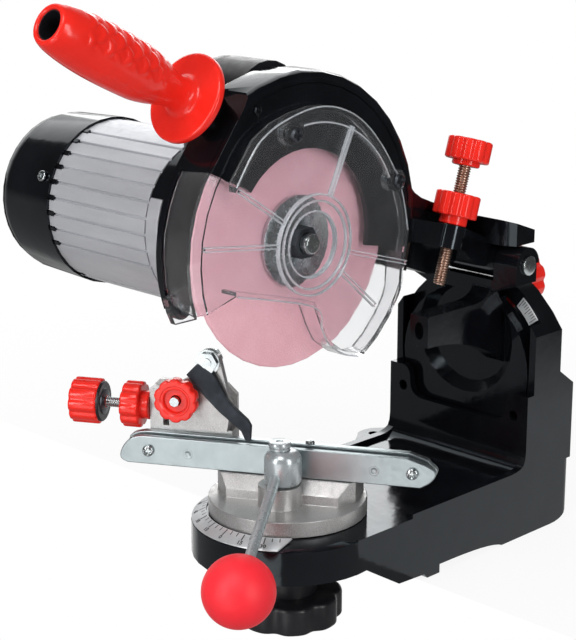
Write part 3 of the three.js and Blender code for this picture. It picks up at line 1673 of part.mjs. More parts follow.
function guardFeatures() {
  const hub = turned(
    [
      [guardWindowRadius, guardFace - bite],
      [guardHubRadius, guardFace - bite],
      [guardHubRadius, guardFace + guardRingHeight],
      [guardHubRadius - guardRingHeight, guardFace + guardRingHeight],
      [guardWindowRadius, guardFace + bite],
      [guardWindowRadius, guardFace - bite],
    ],
    fine,
    "x",
  );
  const arcPlan = new THREE.Shape();
  arcPlan.absarc(0, 0, guardArcRadius, guardArcFrom * degree, guardArcTo * degree, false);
  arcPlan.absarc(0, 0, guardArcRadius - guardRibWidth, guardArcTo * degree, guardArcFrom * degree, true);
  arcPlan.closePath();
  const arc = extrudeSide(arcPlan, guardFace - bite, guardFace + guardRibHeight, curveSteps);
  const bosses = guardScrews.map((at) =>
    rod(guardScrewBoss, guardUpperEdge, guardFace + guardBossHeight, coarse, "x").translate(0, ...at),
  );
  return join(hub, arc, ...guardRibs.map(guardRib), ...bosses);
}

function guardTab() {
  const tab = extrudeSide(shapeOf(guardTabOutline), -lobeBack, -lobeBack + guardTabLug);
  const round = rod(lobeSkirtRadius + guardTabLug, -lobeBack - overrun, 0, fine, "x");
  return common(tab, round);
}

function wheelGuard() {
  const shell = cut(guardSolid(0), guardSolid(guardWall));
  const window = rod(guardWindowRadius, 0, guardFace * 2, medium, "x");
  const holes = guardScrews.map((at) =>
    rod(guardScrewShank + gap, 0, guardFace * 2, few, "x").translate(0, ...at),
  );
  const tabHole = rod(guardScrewShank + gap, -guardFace * 2, 0, few, "x").translate(0, ...guardTabScrew);
  return cut(join(cut(shell, window), guardFeatures(), guardTab()), ...holes, tabHole);
}
addPiece(head, "wheel_guard", wheelGuard(), clearPlastic);

guardScrews.forEach((at, i) => {
  const screw = panScrew(guardScrewRadius, guardScrewHeight, guardScrewShank, guardScrewLength);
  const place = [guardFace + guardBossHeight + gap, ...at];
  addPiece(head, `guard_screw_${i + 1}`, screw, zincSteel, place, [0, Math.PI / 2, 0]);
});
addPiece(
  head,
  "guard_screw_3",
  panScrew(guardScrewRadius, guardScrewHeight, guardScrewShank, guardTabLug + overrun),
  zincSteel,
  [-lobeBack + guardTabLug + gap, ...guardTabScrew],
  [0, Math.PI / 2, 0],
);

// Depth screw with its lock knob and top knob
const depthRod = rod(depthRodRadius, -depthRodTip, depthRodTop, few);
addPiece(head, "depth_screw", alongDepthScrew(depthRod), copperThread);

const headKnob = {
  radius: knobRadius,
  height: knobHeight,
  lobes: knobLobes,
  flute: knobFlute,
  bore: depthRodRadius + runningGap,
  collarRadius: knobCollarRadius,
  collarHeight: knobCollarHeight,
  recess: knobRecessRadius,
  recessDepth: knobRecessDepth,
};

function depthKnob(from, changes) {
  const geometry = geometryOf(lobedKnob({ ...headKnob, ...changes }));
  return alongDepthScrew(geometry.translate(0, 0, from));
}
addPiece(head, "depth_lock_knob", depthKnob(gap, {}), redPlastic);
const topKnobShape = { collarHeight: depthKnobCollar, height: depthKnobHeight };
addPiece(head, "depth_knob", depthKnob(depthKnobFrom, topKnobShape), redPlastic);

// Return spring: a coil round the hinge pin with two short legs
function returnSpring() {
  const points = [];
  const total = springTurns * springSteps;
  points.push(new THREE.Vector3(springFrom, -springRadius, springLegUp));
  for (let i = 0; i <= total; i += 1) {
    const angle = Math.PI + (i / springSteps) * 2 * Math.PI;
    const x = springFrom + ((springTo - springFrom) * i) / total;
    points.push(new THREE.Vector3(x, springRadius * Math.cos(angle), springRadius * Math.sin(angle)));
  }
  points.push(new THREE.Vector3(springTo, -springRadius, -springLegDown));
  const section = [];
  for (let i = 0; i < springSides; i += 1) {
    const angle = (i / springSides) * 2 * Math.PI;
    section.push([springWire * Math.cos(angle), springWire * Math.sin(angle)]);
  }
  const path = new THREE.CatmullRomCurve3(points, false, "centripetal");
  const options = { steps: total + springSteps, bevelEnabled: false, extrudePath: path };
  return new THREE.ExtrudeGeometry(shapeOf(section), options);
}
addPiece(tilting, "return_spring", returnSpring(), darkSteel, [0, hingeSetback, hingeRise]);

// Turntable of the vise, with the pad for the cam lever
function turntable() {
  const disc = rod(tableRadius, tableFrom, tableDiscTop, fine);
  const block = extrudePlan(shapeOf(tableBlockPlan), tableDiscTop - bite, tableTop);
  const front = tableBlockPlan[1][1];
  const facet = shapeOf([
    [front - overrun, tableTop - tableFacet - overrun],
    [front + tableFacet, tableTop],
    [front + tableFacet, tableTop + overrun],
    [front - overrun, tableTop + overrun],
  ]);
  const sloped = cut(block, extrudeSide(facet, -tableRadius, tableRadius));
  const pad = rod(hubPadRadius, tableDiscTop - bite, tableTop, coarse).translate(0, hubFront, 0);
  const pinHole = rod(hubPinRadius + gap, hubPinFoot - gap, tableTop * 2, coarse).translate(0, hubFront, 0);
  const studHole = rod(clampStudRadius + gap, 0, tableTop - tableFacet, coarse);
  return cut(join(disc, sloped, pad), pinHole, studHole);
}
addPiece(vise, "turntable", turntable(), castSilver);

// Clamp knob under the boss, and its stud
function clampKnob() {
  const height = clampKnobTop - clampKnobBottom;
  const grip = lobedKnob({
    radius: clampKnobRadius,
    height,
    lobes: clampKnobLobes,
    flute: clampKnobFlute,
    bore: clampStudRadius + runningGap,
    collarRadius: clampKnobNeck,
    collarHeight: bossBottom - gap - clampKnobTop,
    recess: clampKnobNeck * clampRecessShare,
    recessDepth: knobRecessDepth,
  });
  return grip;
}
addPiece(vise, "clamp_knob", clampKnob(), blackPlastic, [0, 0, bossBottom - gap], [Math.PI, 0, 0]);
addPiece(
  vise,
  "clamp_stud",
  rod(clampStudRadius, clampKnobBottom + knobRecessDepth / 2, tableTop - tableFacet - gap),
  zincSteel,
);

// Vise rails: the sliding front jaw and the fixed rear rail
function railPlate(from, to, rise) {
  const outline = railOutline.map(([along, up]) => [along, railTop + up + (up < -railScrewDrop ? 0 : rise)]);
  return extrudeFront(shapeOf(outline), from, to);
}

function railHoles(radius) {
  const height = railTop - railScrewDrop;
  return railScrewsAlong.map((along) =>
    rod(radius, jawFront - overrun, railBack + overrun, few, "y").translate(along, 0, height),
  );
}

function frontJaw() {
  const height = railTop - railScrewDrop;
  const dimples = dimplesAlong.map((along) =>
    rod(dimpleRadius, jawFront - overrun, jawFront + dimpleDepth, few, "y").translate(along, 0, height),
  );
  return cut(railPlate(jawFront, jawBack, 0), ...dimples, ...railHoles(railScrewShank + gap * 2));
}
addPiece(vise, "front_jaw", frontJaw(), castSilver);

function rearRail() {
  const top = railTop + rearRailRise;
  const tab = boxBetween([tabFrom, railFront, top - bite], [tabTo, railBack, top + tabHeight]);
  const middle = (railFront + railBack) / 2;
  const domeHole = rod(domeShank + gap, top - domeLength - gap, top + overrun, few);
  domeHole.translate(domeAlong, middle, 0);
  const rail = join(railPlate(railFront, railBack, rearRailRise), tab);
  return cut(rail, domeHole, ...railHoles(railScrewShank + gap));
}
addPiece(vise, "rear_rail", rearRail(), castSilver);

railScrewsAlong.forEach((along, i) => {
  const length = railBack - jawFront;
  const screw = panScrew(railScrewRadius, railScrewHeight, railScrewShank, length);
  const place = [along, jawFront - gap, railTop - railScrewDrop];
  addPiece(vise, `rail_screw_${i + 1}`, screw, zincSteel, place, [Math.PI / 2, 0, 0]);
});

function domeScrew() {
  const profile = [
    [0, -domeLength],
    [domeShank, -domeLength],
    [domeShank, 0],
    [domeRadius, 0],
    [domeRadius * domeShoulderShare, domeHeight * domeRiseShare],
    [0, domeHeight],
  ];
  return turned(profile, few);
}
const domePlace = [domeAlong, (railFront + railBack) / 2, railTop + rearRailRise + gap];
addPiece(vise, "rail_dome_screw", domeScrew(), zincSteel, domePlace);

// Cam lever: an off-centre hub on its pin, a sloping rod and a ball
const lever = new THREE.Group();
lever.position.set(0, hubFront, 0);
vise.add(lever);

function alongLever(shape) {
  return shape.rotateX((90 + leverDrop) * degree).translate(0, 0, leverHeight);
}

function camHub() {
  const body = rod(hubRadius, hubBottom, hubTop, medium).translate(camOffset, 0, 0);
  const rodHole = alongLever(rod(leverRodRadius + gap, leverFrom - gap, hubRadius * 2, few));
  return cut(body, rodHole, rod(hubPinRadius + gap, hubBottom - overrun, hubTop + overrun, coarse));
}
addPiece(lever, "cam_hub", camHub(), zincSteel);

function camPin() {
  const bevel = 1;
  const profile = [
    [0, hubPinFoot],
    [hubPinRadius, hubPinFoot],
    [hubPinRadius, hubTop + gap],
    [hubCapRadius, hubTop + gap],
    [hubCapRadius, hubCapTop - bevel],
    [hubCapRadius - bevel, hubCapTop],
    [0, hubCapTop],
  ];
  return turned(profile, coarse);
}
addPiece(lever, "cam_pin", camPin(), zincSteel);

const socketEnd = leverLength - ballRadius + ballSocketDepth;
addPiece(lever, "lever_rod", alongLever(rod(leverRodRadius, leverFrom, socketEnd - gap, few)), zincSteel);

function leverBall() {
  const profile = [];
  const first = Math.asin((leverRodRadius + overrun) / ballRadius);
  profile.push([0, -ballRadius * Math.cos(first)]);
  for (let i = 0; i <= ballSteps; i += 1) {
    const angle = first + ((Math.PI - first) * i) / ballSteps;
    profile.push([ballRadius * Math.sin(angle), -ballRadius * Math.cos(angle)]);
  }
  profile[profile.length - 1] = [0, ballRadius];
  const ball = turned(profile, medium).translate(0, 0, leverLength);
  const socket = rod(leverRodRadius + gap, 0, socketEnd, few);
  return alongLever(geometryOf(cut(ball, socket)));
}
addPiece(lever, "lever_ball", leverBall(), redPlastic);

// Chain stop: bracket, carriage with its pawl, thrust screw and clamp knob
function stopBracket() {
  const ledge = boxBetween([stopFrom, railBack + gap, stopFoot], [stopTo, stopBack + bite, stopLedgeTop]);
  const ear = boxBetween([stopFrom, railBack + gap, stopFoot], [stopEarEnd, stopBack + bite, stopEarTop]);
  const corner = stopPlateTop - stopEarTop;
  const plateShape = shapeOf([
    [stopFrom, stopFoot],
    [stopTo, stopFoot],
    [stopTo, stopPlateTop - corner * 2],
    [stopTo - corner * 2, stopPlateTop],
    [stopFrom + corner, stopPlateTop],
    [stopFrom, stopEarTop],
  ]);
  const plate = extrudeFront(plateShape, stopBack, stopBack + stopPlateThickness);
  const threadHole = rod(thrustRodRadius + gap, stopFrom - overrun, stopTo, coarse, "x");
  threadHole.translate(0, thrustDepth, thrustHeight);
  const half = clampScrewRadius + gap;
  const slot = new THREE.Shape();
  slot.absarc(clampAlong - thrustTravel, clampHeight, half, Math.PI / 2, Math.PI * 1.5, false);
  slot.absarc(clampAlong + thrustTravel, clampHeight, half, -Math.PI / 2, Math.PI / 2, false);
  slot.closePath();
  const slotEnd = stopBack + stopPlateThickness + overrun;
  const slotTool = extrudeFront(slot, stopBack - overrun, slotEnd, smallSteps);
  return cut(join(ledge, ear, plate), threadHole, slotTool);
}
addPiece(vise, "stop_bracket", stopBracket(), castSilver);

const stop = new THREE.Group();
vise.add(stop);

function stopCarriage() {
  const block = extrudeFront(shapeOf(carriageBlockOutline), carriageFront, stopBack - gap);
  const plate = extrudeFront(shapeOf(carriagePlateOutline), carriageFront, carriagePlateBack);
  const threadHole = rod(thrustRodRadius + gap, stopFrom, thrustRodEnd + gap, coarse, "x");
  threadHole.translate(0, thrustDepth, thrustHeight);
  const clampHole = rod(clampScrewRadius + gap, carriageFront - overrun, stopBack + overrun, few, "y");
  clampHole.translate(clampAlong, 0, clampHeight);
  const pivotHole = rod(pawlBoltRadius + gap, carriageFront - overrun, stopBack, few, "y");
  pivotHole.translate(pawlPivot[0], 0, pawlPivot[1]);
  return cut(join(block, plate), threadHole, clampHole, pivotHole);
}
addPiece(stop, "stop_carriage", stopCarriage(), castSilver);

function pawlStrip() {
  const strip = extrudeFront(shapeOf(pawlOutline), pawlFront, pawlBack);
  const hole = rod(pawlBoltRadius + gap, pawlFront - overrun, pawlBack + overrun, few, "y");
  return cut(strip, hole.translate(pawlPivot[0], 0, pawlPivot[1]));
}
addPiece(stop, "chain_pawl", pawlStrip(), darkSteel);

// Pivot bolt, headed in front of the pawl and behind the carriage
function pawlBolt() {
  const front = pawlFront - gap;
  const back = carriagePlateBack + gap;
  const shank = rod(pawlBoltRadius, front - bite, back + bite, few, "y");
  const head = rod(pawlBoltHead, front - pawlBoltHeight, front, hexSides, "y");
  const nut = rod(pawlBoltHead, back, back + pawlBoltHeight, hexSides, "y");
  return join(shank, head, nut);
}
addPiece(stop, "pawl_bolt", pawlBolt(), zincSteel, [pawlPivot[0], 0, pawlPivot[1]]);

// Thrust screw with its end knob and lock knob
addPiece(
  stop,
  "thrust_screw",
  rod(thrustRodRadius, thrustKnobFrom + faceInsertDepth, thrustRodEnd, few, "x"),
  zincSteel,
  [0, thrustDepth, thrustHeight],
);
addPiece(
  stop,
  "thrust_knob",
  lobedKnob({
    ...headKnob,
    radius: thrustKnobRadius,
    height: thrustKnobTo - thrustKnobFrom - faceInsertDepth,
    bore: thrustRodRadius + runningGap,
    collarHeight: faceInsertDepth,
    collarRadius: knobCollarRadius * knobCollarWideShare,
  }),
  redPlastic,
  [thrustKnobTo, thrustDepth, thrustHeight],
  [0, -Math.PI / 2, 0],
);
addPiece(
  vise,
  "thrust_lock_knob",
  lobedKnob({ ...headKnob, bore: thrustRodRadius + runningGap, height: knobHeight - faceInsertDepth }),
  redPlastic,
  [thrustLockFrom, thrustDepth, thrustHeight],
  [0, -Math.PI / 2, 0],
);

// Clamp knob of the carriage, on its screw
addPiece(
  stop,
  "stop_clamp_knob",
  lobedKnob({
    ...headKnob,
    radius: stopKnobRadius,
    height: stopKnobHeight,
    bore: clampScrewRadius + runningGap,
    collarHeight: stopKnobCollar,
    recess: knobRecessRadius * knobRecessWideShare,
    recessDepth: knobRecessDepth / 2,
  }),
  redPlastic,
  [clampAlong, carriageFront - gap, clampHeight],
  [Math.PI / 2, 0, 0],
);

function clampScrew() {
  const front = carriageFront - gap - stopKnobCollar - stopKnobHeight - clampScrewProud;
  const back = stopBack + stopPlateThickness + gap;
  const shank = rod(clampScrewRadius, front, back + bite, few, "y");
  return join(shank, rod(pawlBoltHead, back, back + clampNutHeight, hexSides, "y"));
}
addPiece(stop, "stop_clamp_screw", clampScrew(), zincSteel, [clampAlong, 0, clampHeight]);

export default model;
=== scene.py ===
# Looks of a bench sharpener for saw chains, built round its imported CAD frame
import json
import math

import bpy
from mathutils import Matrix, Vector


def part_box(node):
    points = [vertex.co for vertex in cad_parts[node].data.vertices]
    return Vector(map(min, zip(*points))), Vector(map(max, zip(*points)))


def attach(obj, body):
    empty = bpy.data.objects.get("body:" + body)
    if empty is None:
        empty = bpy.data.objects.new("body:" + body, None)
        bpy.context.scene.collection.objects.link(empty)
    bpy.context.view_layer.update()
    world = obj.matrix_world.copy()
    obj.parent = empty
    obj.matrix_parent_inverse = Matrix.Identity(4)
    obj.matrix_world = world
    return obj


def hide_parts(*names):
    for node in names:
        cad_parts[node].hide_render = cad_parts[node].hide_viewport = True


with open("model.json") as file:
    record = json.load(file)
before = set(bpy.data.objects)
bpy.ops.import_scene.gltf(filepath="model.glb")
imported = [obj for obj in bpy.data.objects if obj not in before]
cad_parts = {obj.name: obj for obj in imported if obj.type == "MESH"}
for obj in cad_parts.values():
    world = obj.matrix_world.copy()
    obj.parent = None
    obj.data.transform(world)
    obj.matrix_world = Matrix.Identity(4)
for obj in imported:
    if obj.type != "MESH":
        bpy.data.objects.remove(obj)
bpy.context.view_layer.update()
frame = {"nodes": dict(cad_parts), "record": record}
NODES = frame["nodes"]
MM = 0.001
TURN = 2 * math.pi
ROUND = 96  # sides of a large turned piece
SMALL = 32  # sides of a small one
FINE = 180  # sides of the handle, whose scales need more
WIRE = 12  # sides of a wire
LINE = 8  # sides of a thin line of plastic


def metres(*values):
    return tuple(value * MM for value in values)


def at(x, y, z):
    return Matrix.Translation(metres(x, y, z))


def turn_about(axis, degrees):
    return Matrix.Rotation(math.radians(degrees), 4, axis)


# Places of the machine's groups, as the CAD source has them
HEAD = at(0, -150, 204)
TILT = at(0, 0, 99)
HINGE = TILT @ at(0, 7, 71)
BOSS = at(0, -152, 0)
VISE = BOSS @ turn_about("Z", 30.5)
DEPTH = at(20, -34, 197.2) @ turn_about("X", -17.7)
HANDLE = HEAD @ at(-16, -59, 82.5) @ turn_about("X", 63)
LEVER = VISE @ at(0, -18, 77) @ turn_about("X", 115)
STOP_BEHIND, STOP_HEIGHT = 7.2, 98.4  # the thrust screw's line in the vise
ALONG_X = turn_about("Y", 90)
ALONG_Y = turn_about("X", -90)
TO_LEFT = turn_about("Y", -90)
TO_FRONT = turn_about("X", 90)


# Materials
class Nodes:
    """Makes and links the nodes of one material or world."""

    def __init__(self, tree):
        self.tree = tree

    def node(self, kind, **settings):
        made = self.tree.nodes.new(kind)
        for key, value in settings.items():
            setattr(made, key, value)
        return made

    def feed(self, target, value):
        """Links a socket, or sets its plain value."""
        if isinstance(value, bpy.types.NodeSocket):
            self.tree.links.new(value, target)
        else:
            target.default_value = value

    def spread(self, source, low, high, start=0.3, stop=0.7):
        """Low where the source is at the start, high where it is at the stop."""
        made = self.node("ShaderNodeMapRange")
        sockets = {"Value": source, "From Min": start, "From Max": stop, "To Min": low, "To Max": high}
        for socket, value in sockets.items():
            self.feed(made.inputs[socket], value)
        return made.outputs["Result"]

    def pick(self, flag, otherwise, chosen):
        return self.spread(flag, otherwise, chosen, 0, 1)

    def larger(self, first, second):
        made = self.node("ShaderNodeMath", operation="MAXIMUM")
        self.feed(made.inputs[0], first)
        self.feed(made.inputs[1], second)
        return made.outputs["Value"]

    def reach_along(self, source, direction):
        made = self.node("ShaderNodeVectorMath", operation="DOT_PRODUCT")
        self.feed(made.inputs[0], source)
        made.inputs[1].default_value = direction
        return made.outputs["Value"]


class Surface(Nodes):
    """One node-based material whose patterns lie in the piece's own space."""

    def __init__(self, name, **sockets):
        self.material = bpy.data.materials.new(name)
        self.material.use_nodes = True
        super().__init__(self.material.node_tree)
        self.shader = self.tree.nodes["Principled BSDF"]
        self.output = self.tree.nodes["Material Output"]
        self.place = self.node("ShaderNodeTexCoord").outputs["Object"]
        for socket, value in sockets.items():
            self.shader.inputs[socket.replace("_", " ")].default_value = value

    def noise(self, scale, detail=3.0, roughness=0.55, stretch=None):
        made = self.node("ShaderNodeTexNoise")
        made.inputs["Scale"].default_value = scale
        made.inputs["Detail"].default_value = detail
        made.inputs["Roughness"].default_value = roughness
        self.feed(made.inputs["Vector"], self.stretched(stretch) if stretch else self.place)
        return made.outputs["Fac"]

    def stretched(self, scale):
        mapping = self.node("ShaderNodeMapping")
        mapping.inputs["Scale"].default_value = scale
        self.feed(mapping.inputs["Vector"], self.place)
        return mapping.outputs["Vector"]

    def cells(self, scale):
        made = self.node("ShaderNodeTexVoronoi")
        made.inputs["Scale"].default_value = scale
        self.feed(made.inputs["Vector"], self.place)
        return made.outputs["Distance"]

    def blend(self, factor, first, second):
        made = self.node("ShaderNodeMix", data_type="RGBA")
        self.feed(made.inputs["Factor"], factor)
        for name, value in (("A", first), ("B", second)):
            target = next(i for i in made.inputs if i.name == name and i.type == "RGBA")
            self.feed(target, (*value, 1) if isinstance(value, tuple) else value)
        return next(o for o in made.outputs if o.type == "RGBA")

    def colour(self, source):
        self.feed(self.shader.inputs["Base Color"], source)

    def rough(self, source):
        self.feed(self.shader.inputs["Roughness"], source)

    def bumps(self, *layers):
        """Each layer is (height, depth in millimetres)."""
        normal = None
        for height, depth in layers:
            made = self.node("ShaderNodeBump")
            made.inputs["Distance"].default_value = depth * MM
            self.feed(made.inputs["Height"], height)
            if normal:
                self.feed(made.inputs["Normal"], normal)
            normal = made.outputs["Normal"]
        self.feed(self.shader.inputs["Normal"], normal)

    def mixed(self, share, other):
        """Shows another shader in a share of the rays."""
        mix = self.node("ShaderNodeMixShader")
        self.feed(mix.inputs["Fac"], share)
        self.feed(mix.inputs[1], self.shader.outputs["BSDF"])
        self.feed(mix.inputs[2], other)
        self.feed(self.output.inputs["Surface"], mix.outputs["Shader"])


def plain(name, clouds, dark, light, grain, gloss, bumps=(), **sockets):
    """Clouds of colour, uneven roughness and fine bumps; every noise is (scale, detail)."""
    s = Surface(name, **sockets)
    s.colour(s.blend(s.spread(s.noise(*clouds), 0, 1), dark, light))
    s.rough(s.spread(s.noise(*grain), *gloss))
    if bumps:
        s.bumps(*[(s.noise(*noise), depth) for noise, depth in bumps])
    return s


def cast_silver():
    s = Surface("cast_silver", Metallic=0.85)
    tone = s.blend(s.spread(s.noise(55, 5), 0, 1), (0.42, 0.415, 0.41), (0.55, 0.545, 0.54))
    flecks = s.spread(s.noise(1500, 2), 0, 1, 0.42, 0.6)
    s.colour(s.blend(flecks, tone, (0.60, 0.59, 0.585)))
    s.rough(s.spread(s.noise(240, 4), 0.34, 0.5))
    s.bumps((s.noise(1300, 3, 0.6), 0.035), (s.noise(320, 3), 0.06))
    return s


def motor_silver():
    s = Surface("motor_silver", Metallic=0.55)
    streaks = s.noise(60, 5, 0.6, stretch=(0.18, 1, 1))
    s.colour(s.blend(s.spread(streaks, 0, 1), (0.56, 0.57, 0.60), (0.70, 0.71, 0.745)))
    s.rough(s.spread(s.noise(400, 4), 0.4, 0.55))
    s.bumps((s.noise(1100, 3, 0.6), 0.05), (streaks, 0.06))
    return s


def pink_grit():
    s = Surface("pink_grit", IOR=1.4, Specular_IOR_Level=0.25)
    body = s.blend(s.spread(s.noise(28, 5), 0, 1), (0.80, 0.41, 0.47), (0.88, 0.50, 0.56))
    pale = s.spread(s.cells(1500), 1, 0, 0.0, 0.35)
    speckled = s.blend(pale, body, (0.94, 0.68, 0.72))
    dark = s.spread(s.noise(2300, 2), 0, 0.4, 0.58, 0.72)
    s.colour(s.blend(dark, speckled, (0.46, 0.23, 0.26)))
    s.rough(s.spread(s.noise(900, 2), 0.8, 0.98))
    s.bumps((s.cells(1400), 0.12), (s.noise(700, 3), 0.08))
    return s


def motor_winding():
    s = Surface("motor_winding", Metallic=0.5)
    layers = s.node("ShaderNodeTexWave", bands_direction="X")
    layers.inputs["Scale"].default_value = 300
    s.feed(layers.inputs["Vector"], s.place)
    s.colour(s.blend(layers.outputs["Fac"], (0.30, 0.09, 0.04), (0.46, 0.17, 0.08)))
    s.rough(s.spread(s.noise(300), 0.35, 0.55))
    s.bumps((layers.outputs["Fac"], 0.2))
    return s


def clear(name, **looks):
    """A clear plastic that lets the lamps shine through it."""
    s = plain(name, IOR=1.49, **looks)
    through = s.node("ShaderNodeBsdfTransparent")
    through.inputs["Color"].default_value = (0.84, 0.86, 0.87, 1)
    s.mixed(s.node("ShaderNodeLightPath").outputs["Is Shadow Ray"], through.outputs["BSDF"])
    return s


BLACK_ENAMEL = plain(
    "black_enamel", clouds=(35, 3), dark=(0.002, 0.002, 0.003), light=(0.005, 0.0055, 0.007),
    grain=(60, 5), gloss=(0.07, 0.17), bumps=[((260, 2), 0.03), ((70, 2), 0.12)],
    IOR=1.5, Specular_Tint=(0.80, 0.92, 1.0, 1),
)
RED_PLASTIC = plain(
    "red_plastic", clouds=(45, 4), dark=(0.76, 0.018, 0.010), light=(0.88, 0.026, 0.016), grain=(150, 4),
    gloss=(0.14, 0.24), bumps=[((900, 3), 0.02), ((180, 3), 0.05)], IOR=1.46,
)
MATTE_RED = plain(
    "matte_red", clouds=(40, 4), dark=(0.88, 0.016, 0.028), light=(0.96, 0.022, 0.038), grain=(200, 4),
    gloss=(0.42, 0.55), bumps=[((1000, 3), 0.03)], IOR=1.45,
)
RAIL_ZINC = plain(
    "rail_zinc", clouds=(70, 4), dark=(0.38, 0.43, 0.445), light=(0.44, 0.495, 0.505), grain=(420, 4),
    gloss=(0.28, 0.36), bumps=[((1500, 2), 0.012), ((60, 2), 0.03)], Metallic=1.0,
)
ZINC_STEEL = plain(
    "zinc_steel", clouds=(80, 4), dark=(0.47, 0.51, 0.53), light=(0.62, 0.65, 0.65), grain=(500, 4),
    gloss=(0.16, 0.3), bumps=[((1700, 2), 0.02)], Metallic=1.0,
)
SATIN_STEEL = plain(
    "satin_steel", clouds=(80, 4), dark=(0.44, 0.485, 0.50), light=(0.52, 0.56, 0.575), grain=(120, 3),
    gloss=(0.25, 0.31), bumps=[((1700, 2), 0.002)], Metallic=0.6,
)
DARK_STEEL = plain(
    "dark_steel", clouds=(90, 4), dark=(0.045, 0.05, 0.058), light=(0.12, 0.13, 0.145), grain=(400, 4),
    gloss=(0.26, 0.45), bumps=[((1200, 3), 0.03)], Metallic=0.9,
)
BLUED_STEEL = plain(
    "blued_steel", clouds=(90, 4), dark=(0.012, 0.016, 0.022), light=(0.035, 0.042, 0.052), grain=(300, 4),
    gloss=(0.3, 0.5), bumps=[((1000, 3), 0.03)], Metallic=0.6,
)
COPPER_THREAD = plain(
    "copper_thread", clouds=(300, 4), dark=(0.40, 0.25, 0.19), light=(0.66, 0.48, 0.39), grain=(700, 3),
    gloss=(0.26, 0.42), bumps=[((1800, 2), 0.02)], Metallic=1.0,
)
BLACK_PLASTIC = plain(
    "black_plastic", clouds=(60, 4), dark=(0.007, 0.007, 0.009), light=(0.016, 0.016, 0.019), grain=(200, 4),
    gloss=(0.3, 0.45), bumps=[((1000, 3), 0.04)], IOR=1.46,
)
SCALE_METAL = plain(
    "scale_metal", clouds=(120, 4), dark=(0.62, 0.64, 0.66), light=(0.74, 0.76, 0.77), grain=(600, 4),
    gloss=(0.32, 0.45), bumps=[((1500, 2), 0.015)], Metallic=0.6,
)
SCALE_INK = plain(
    "scale_ink", clouds=(300, 3), dark=(0.012, 0.012, 0.014), light=(0.035, 0.035, 0.038), grain=(400, 3),
    gloss=(0.45, 0.6),
)
CLEAR_PLASTIC = clear(
    "clear_plastic", clouds=(40, 3), dark=(0.90, 0.91, 0.925), light=(0.95, 0.955, 0.965), grain=(90, 4),
    gloss=(0.03, 0.12), bumps=[((90, 2), 0.12)], Transmission_Weight=0.985,
)
# Milky, whiter plastic for strips along the guard's edges: a painted highlight on its ribs, rims and hub
CLEAR_HIGHLIGHT = clear(
    "clear_painted_highlight", clouds=(60, 3), dark=(0.74, 0.76, 0.79), light=(0.86, 0.87, 0.89), grain=(120, 4),
    gloss=(0.1, 0.25), bumps=[((140, 2), 0.08)], Transmission_Weight=0.72,
)
MOTOR_SILVER = motor_silver()
FINISHES = {
    "black_casting": BLACK_ENAMEL,
    "red_plastic": RED_PLASTIC,
    "cast_silver": cast_silver(),
    "zinc_steel": ZINC_STEEL,
    "dark_steel": DARK_STEEL,
    "copper_thread": COPPER_THREAD,
    "pink_grit": pink_grit(),
    "clear_plastic": CLEAR_PLASTIC,
    "black_plastic": BLACK_PLASTIC,
    "scale_metal": SCALE_METAL,
    "motor_winding": motor_winding(),
}
OWN_FINISHES = {
    "motor_body": MOTOR_SILVER,
    "motor_front_ring": MOTOR_SILVER,
    "front_jaw": RAIL_ZINC,
    "rear_rail": RAIL_ZINC,
    "chain_pawl": BLUED_STEEL,
    "lever_ball": MATTE_RED,
    "lever_rod": SATIN_STEEL,
    "cam_hub": SATIN_STEEL,
    "cam_pin": SATIN_STEEL,
}
SLOT_OF = {part["node"]: part["material_slot"] for part in frame["record"]["subparts"]}
BODY_OF = {node: body for body, nodes in frame["record"]["behaviour"]["bodies"].items() for node in nodes}


def finish_of(node):
    return OWN_FINISHES.get(node, FINISHES[SLOT_OF[node]])


def rounded(piece, width, segments, angle):
    bevel = piece.modifiers.new("edge", "BEVEL")
    bevel.width = width * MM
    bevel.segments = segments
    bevel.limit_method = "ANGLE"
    bevel.angle_limit = math.radians(angle)
    return bevel


# CAD nodes keep their meshes and get rounded edges and their finish
WELD_GAP = 0.02
FLAT_ANGLE, EDGE_ANGLE = 0.6, 33
FACE_WEIGHT = 60


def dress(node, edge):
    piece = NODES[node]
    piece.data.materials.clear()
    piece.data.materials.append(finish_of(node).material)
    for face in piece.data.polygons:
        face.use_smooth = True
    weld = piece.modifiers.new("weld", "WELD")
    weld.merge_threshold = WELD_GAP * MM
    flat = piece.modifiers.new("flat", "DECIMATE")
    flat.decimate_type = "DISSOLVE"
    flat.angle_limit = math.radians(FLAT_ANGLE)
    rounded(piece, edge, segments=2, angle=EDGE_ANGLE).miter_outer = "MITER_ARC"
    shade = piece.modifiers.new("shade", "WEIGHTED_NORMAL")
    shade.mode = "FACE_AREA"
    shade.weight = FACE_WEIGHT
    shade.keep_sharp = True


SLIGHT_EDGE = 0.3
SOFT_EDGES = {
    "base_casting": 0.9,
    "tilt_bracket": 0.8,
    "head_housing": 0.8,
    "switch_box": 0.5,
    "motor_end_cap": 0.5,
    "turntable": 0.5,
    "wheel_guard": 0.35,
}
for node in NODES:
    dress(node, SOFT_EDGES.get(node, SLIGHT_EDGE))


# Forms: points and faces in millimetres, drawn round their own axis
def turned(profile, sides, shape=None):
    """Turns (radius, height) pairs that run from pole to pole, or that close on themselves."""
    closed = profile[0] == profile[-1]
    rows = profile[:-1] if closed else profile[1:-1]
    points = []
    for radius, height in rows:
        for k in range(sides):
            angle = TURN * k / sides
            reach, rise = shape(angle, radius, height) if shape else (radius, height)
            points.append((reach * math.cos(angle), reach * math.sin(angle), rise))
    faces = []
    for i in range(len(rows) if closed else len(rows) - 1):
        low = i * sides
        high = (i + 1) % len(rows) * sides
        for k in range(sides):
            after = (k + 1) % sides
            faces.append((low + k, low + after, high + after, high + k))
    if not closed:
        foot = len(points)
        last = (len(rows) - 1) * sides
        points += [(0, 0, profile[0][1]), (0, 0, profile[-1][1])]
        for k in range(sides):
            after = (k + 1) % sides
            faces.append((foot, after, k))
            faces.append((foot + 1, last + k, last + after))
    return points, faces


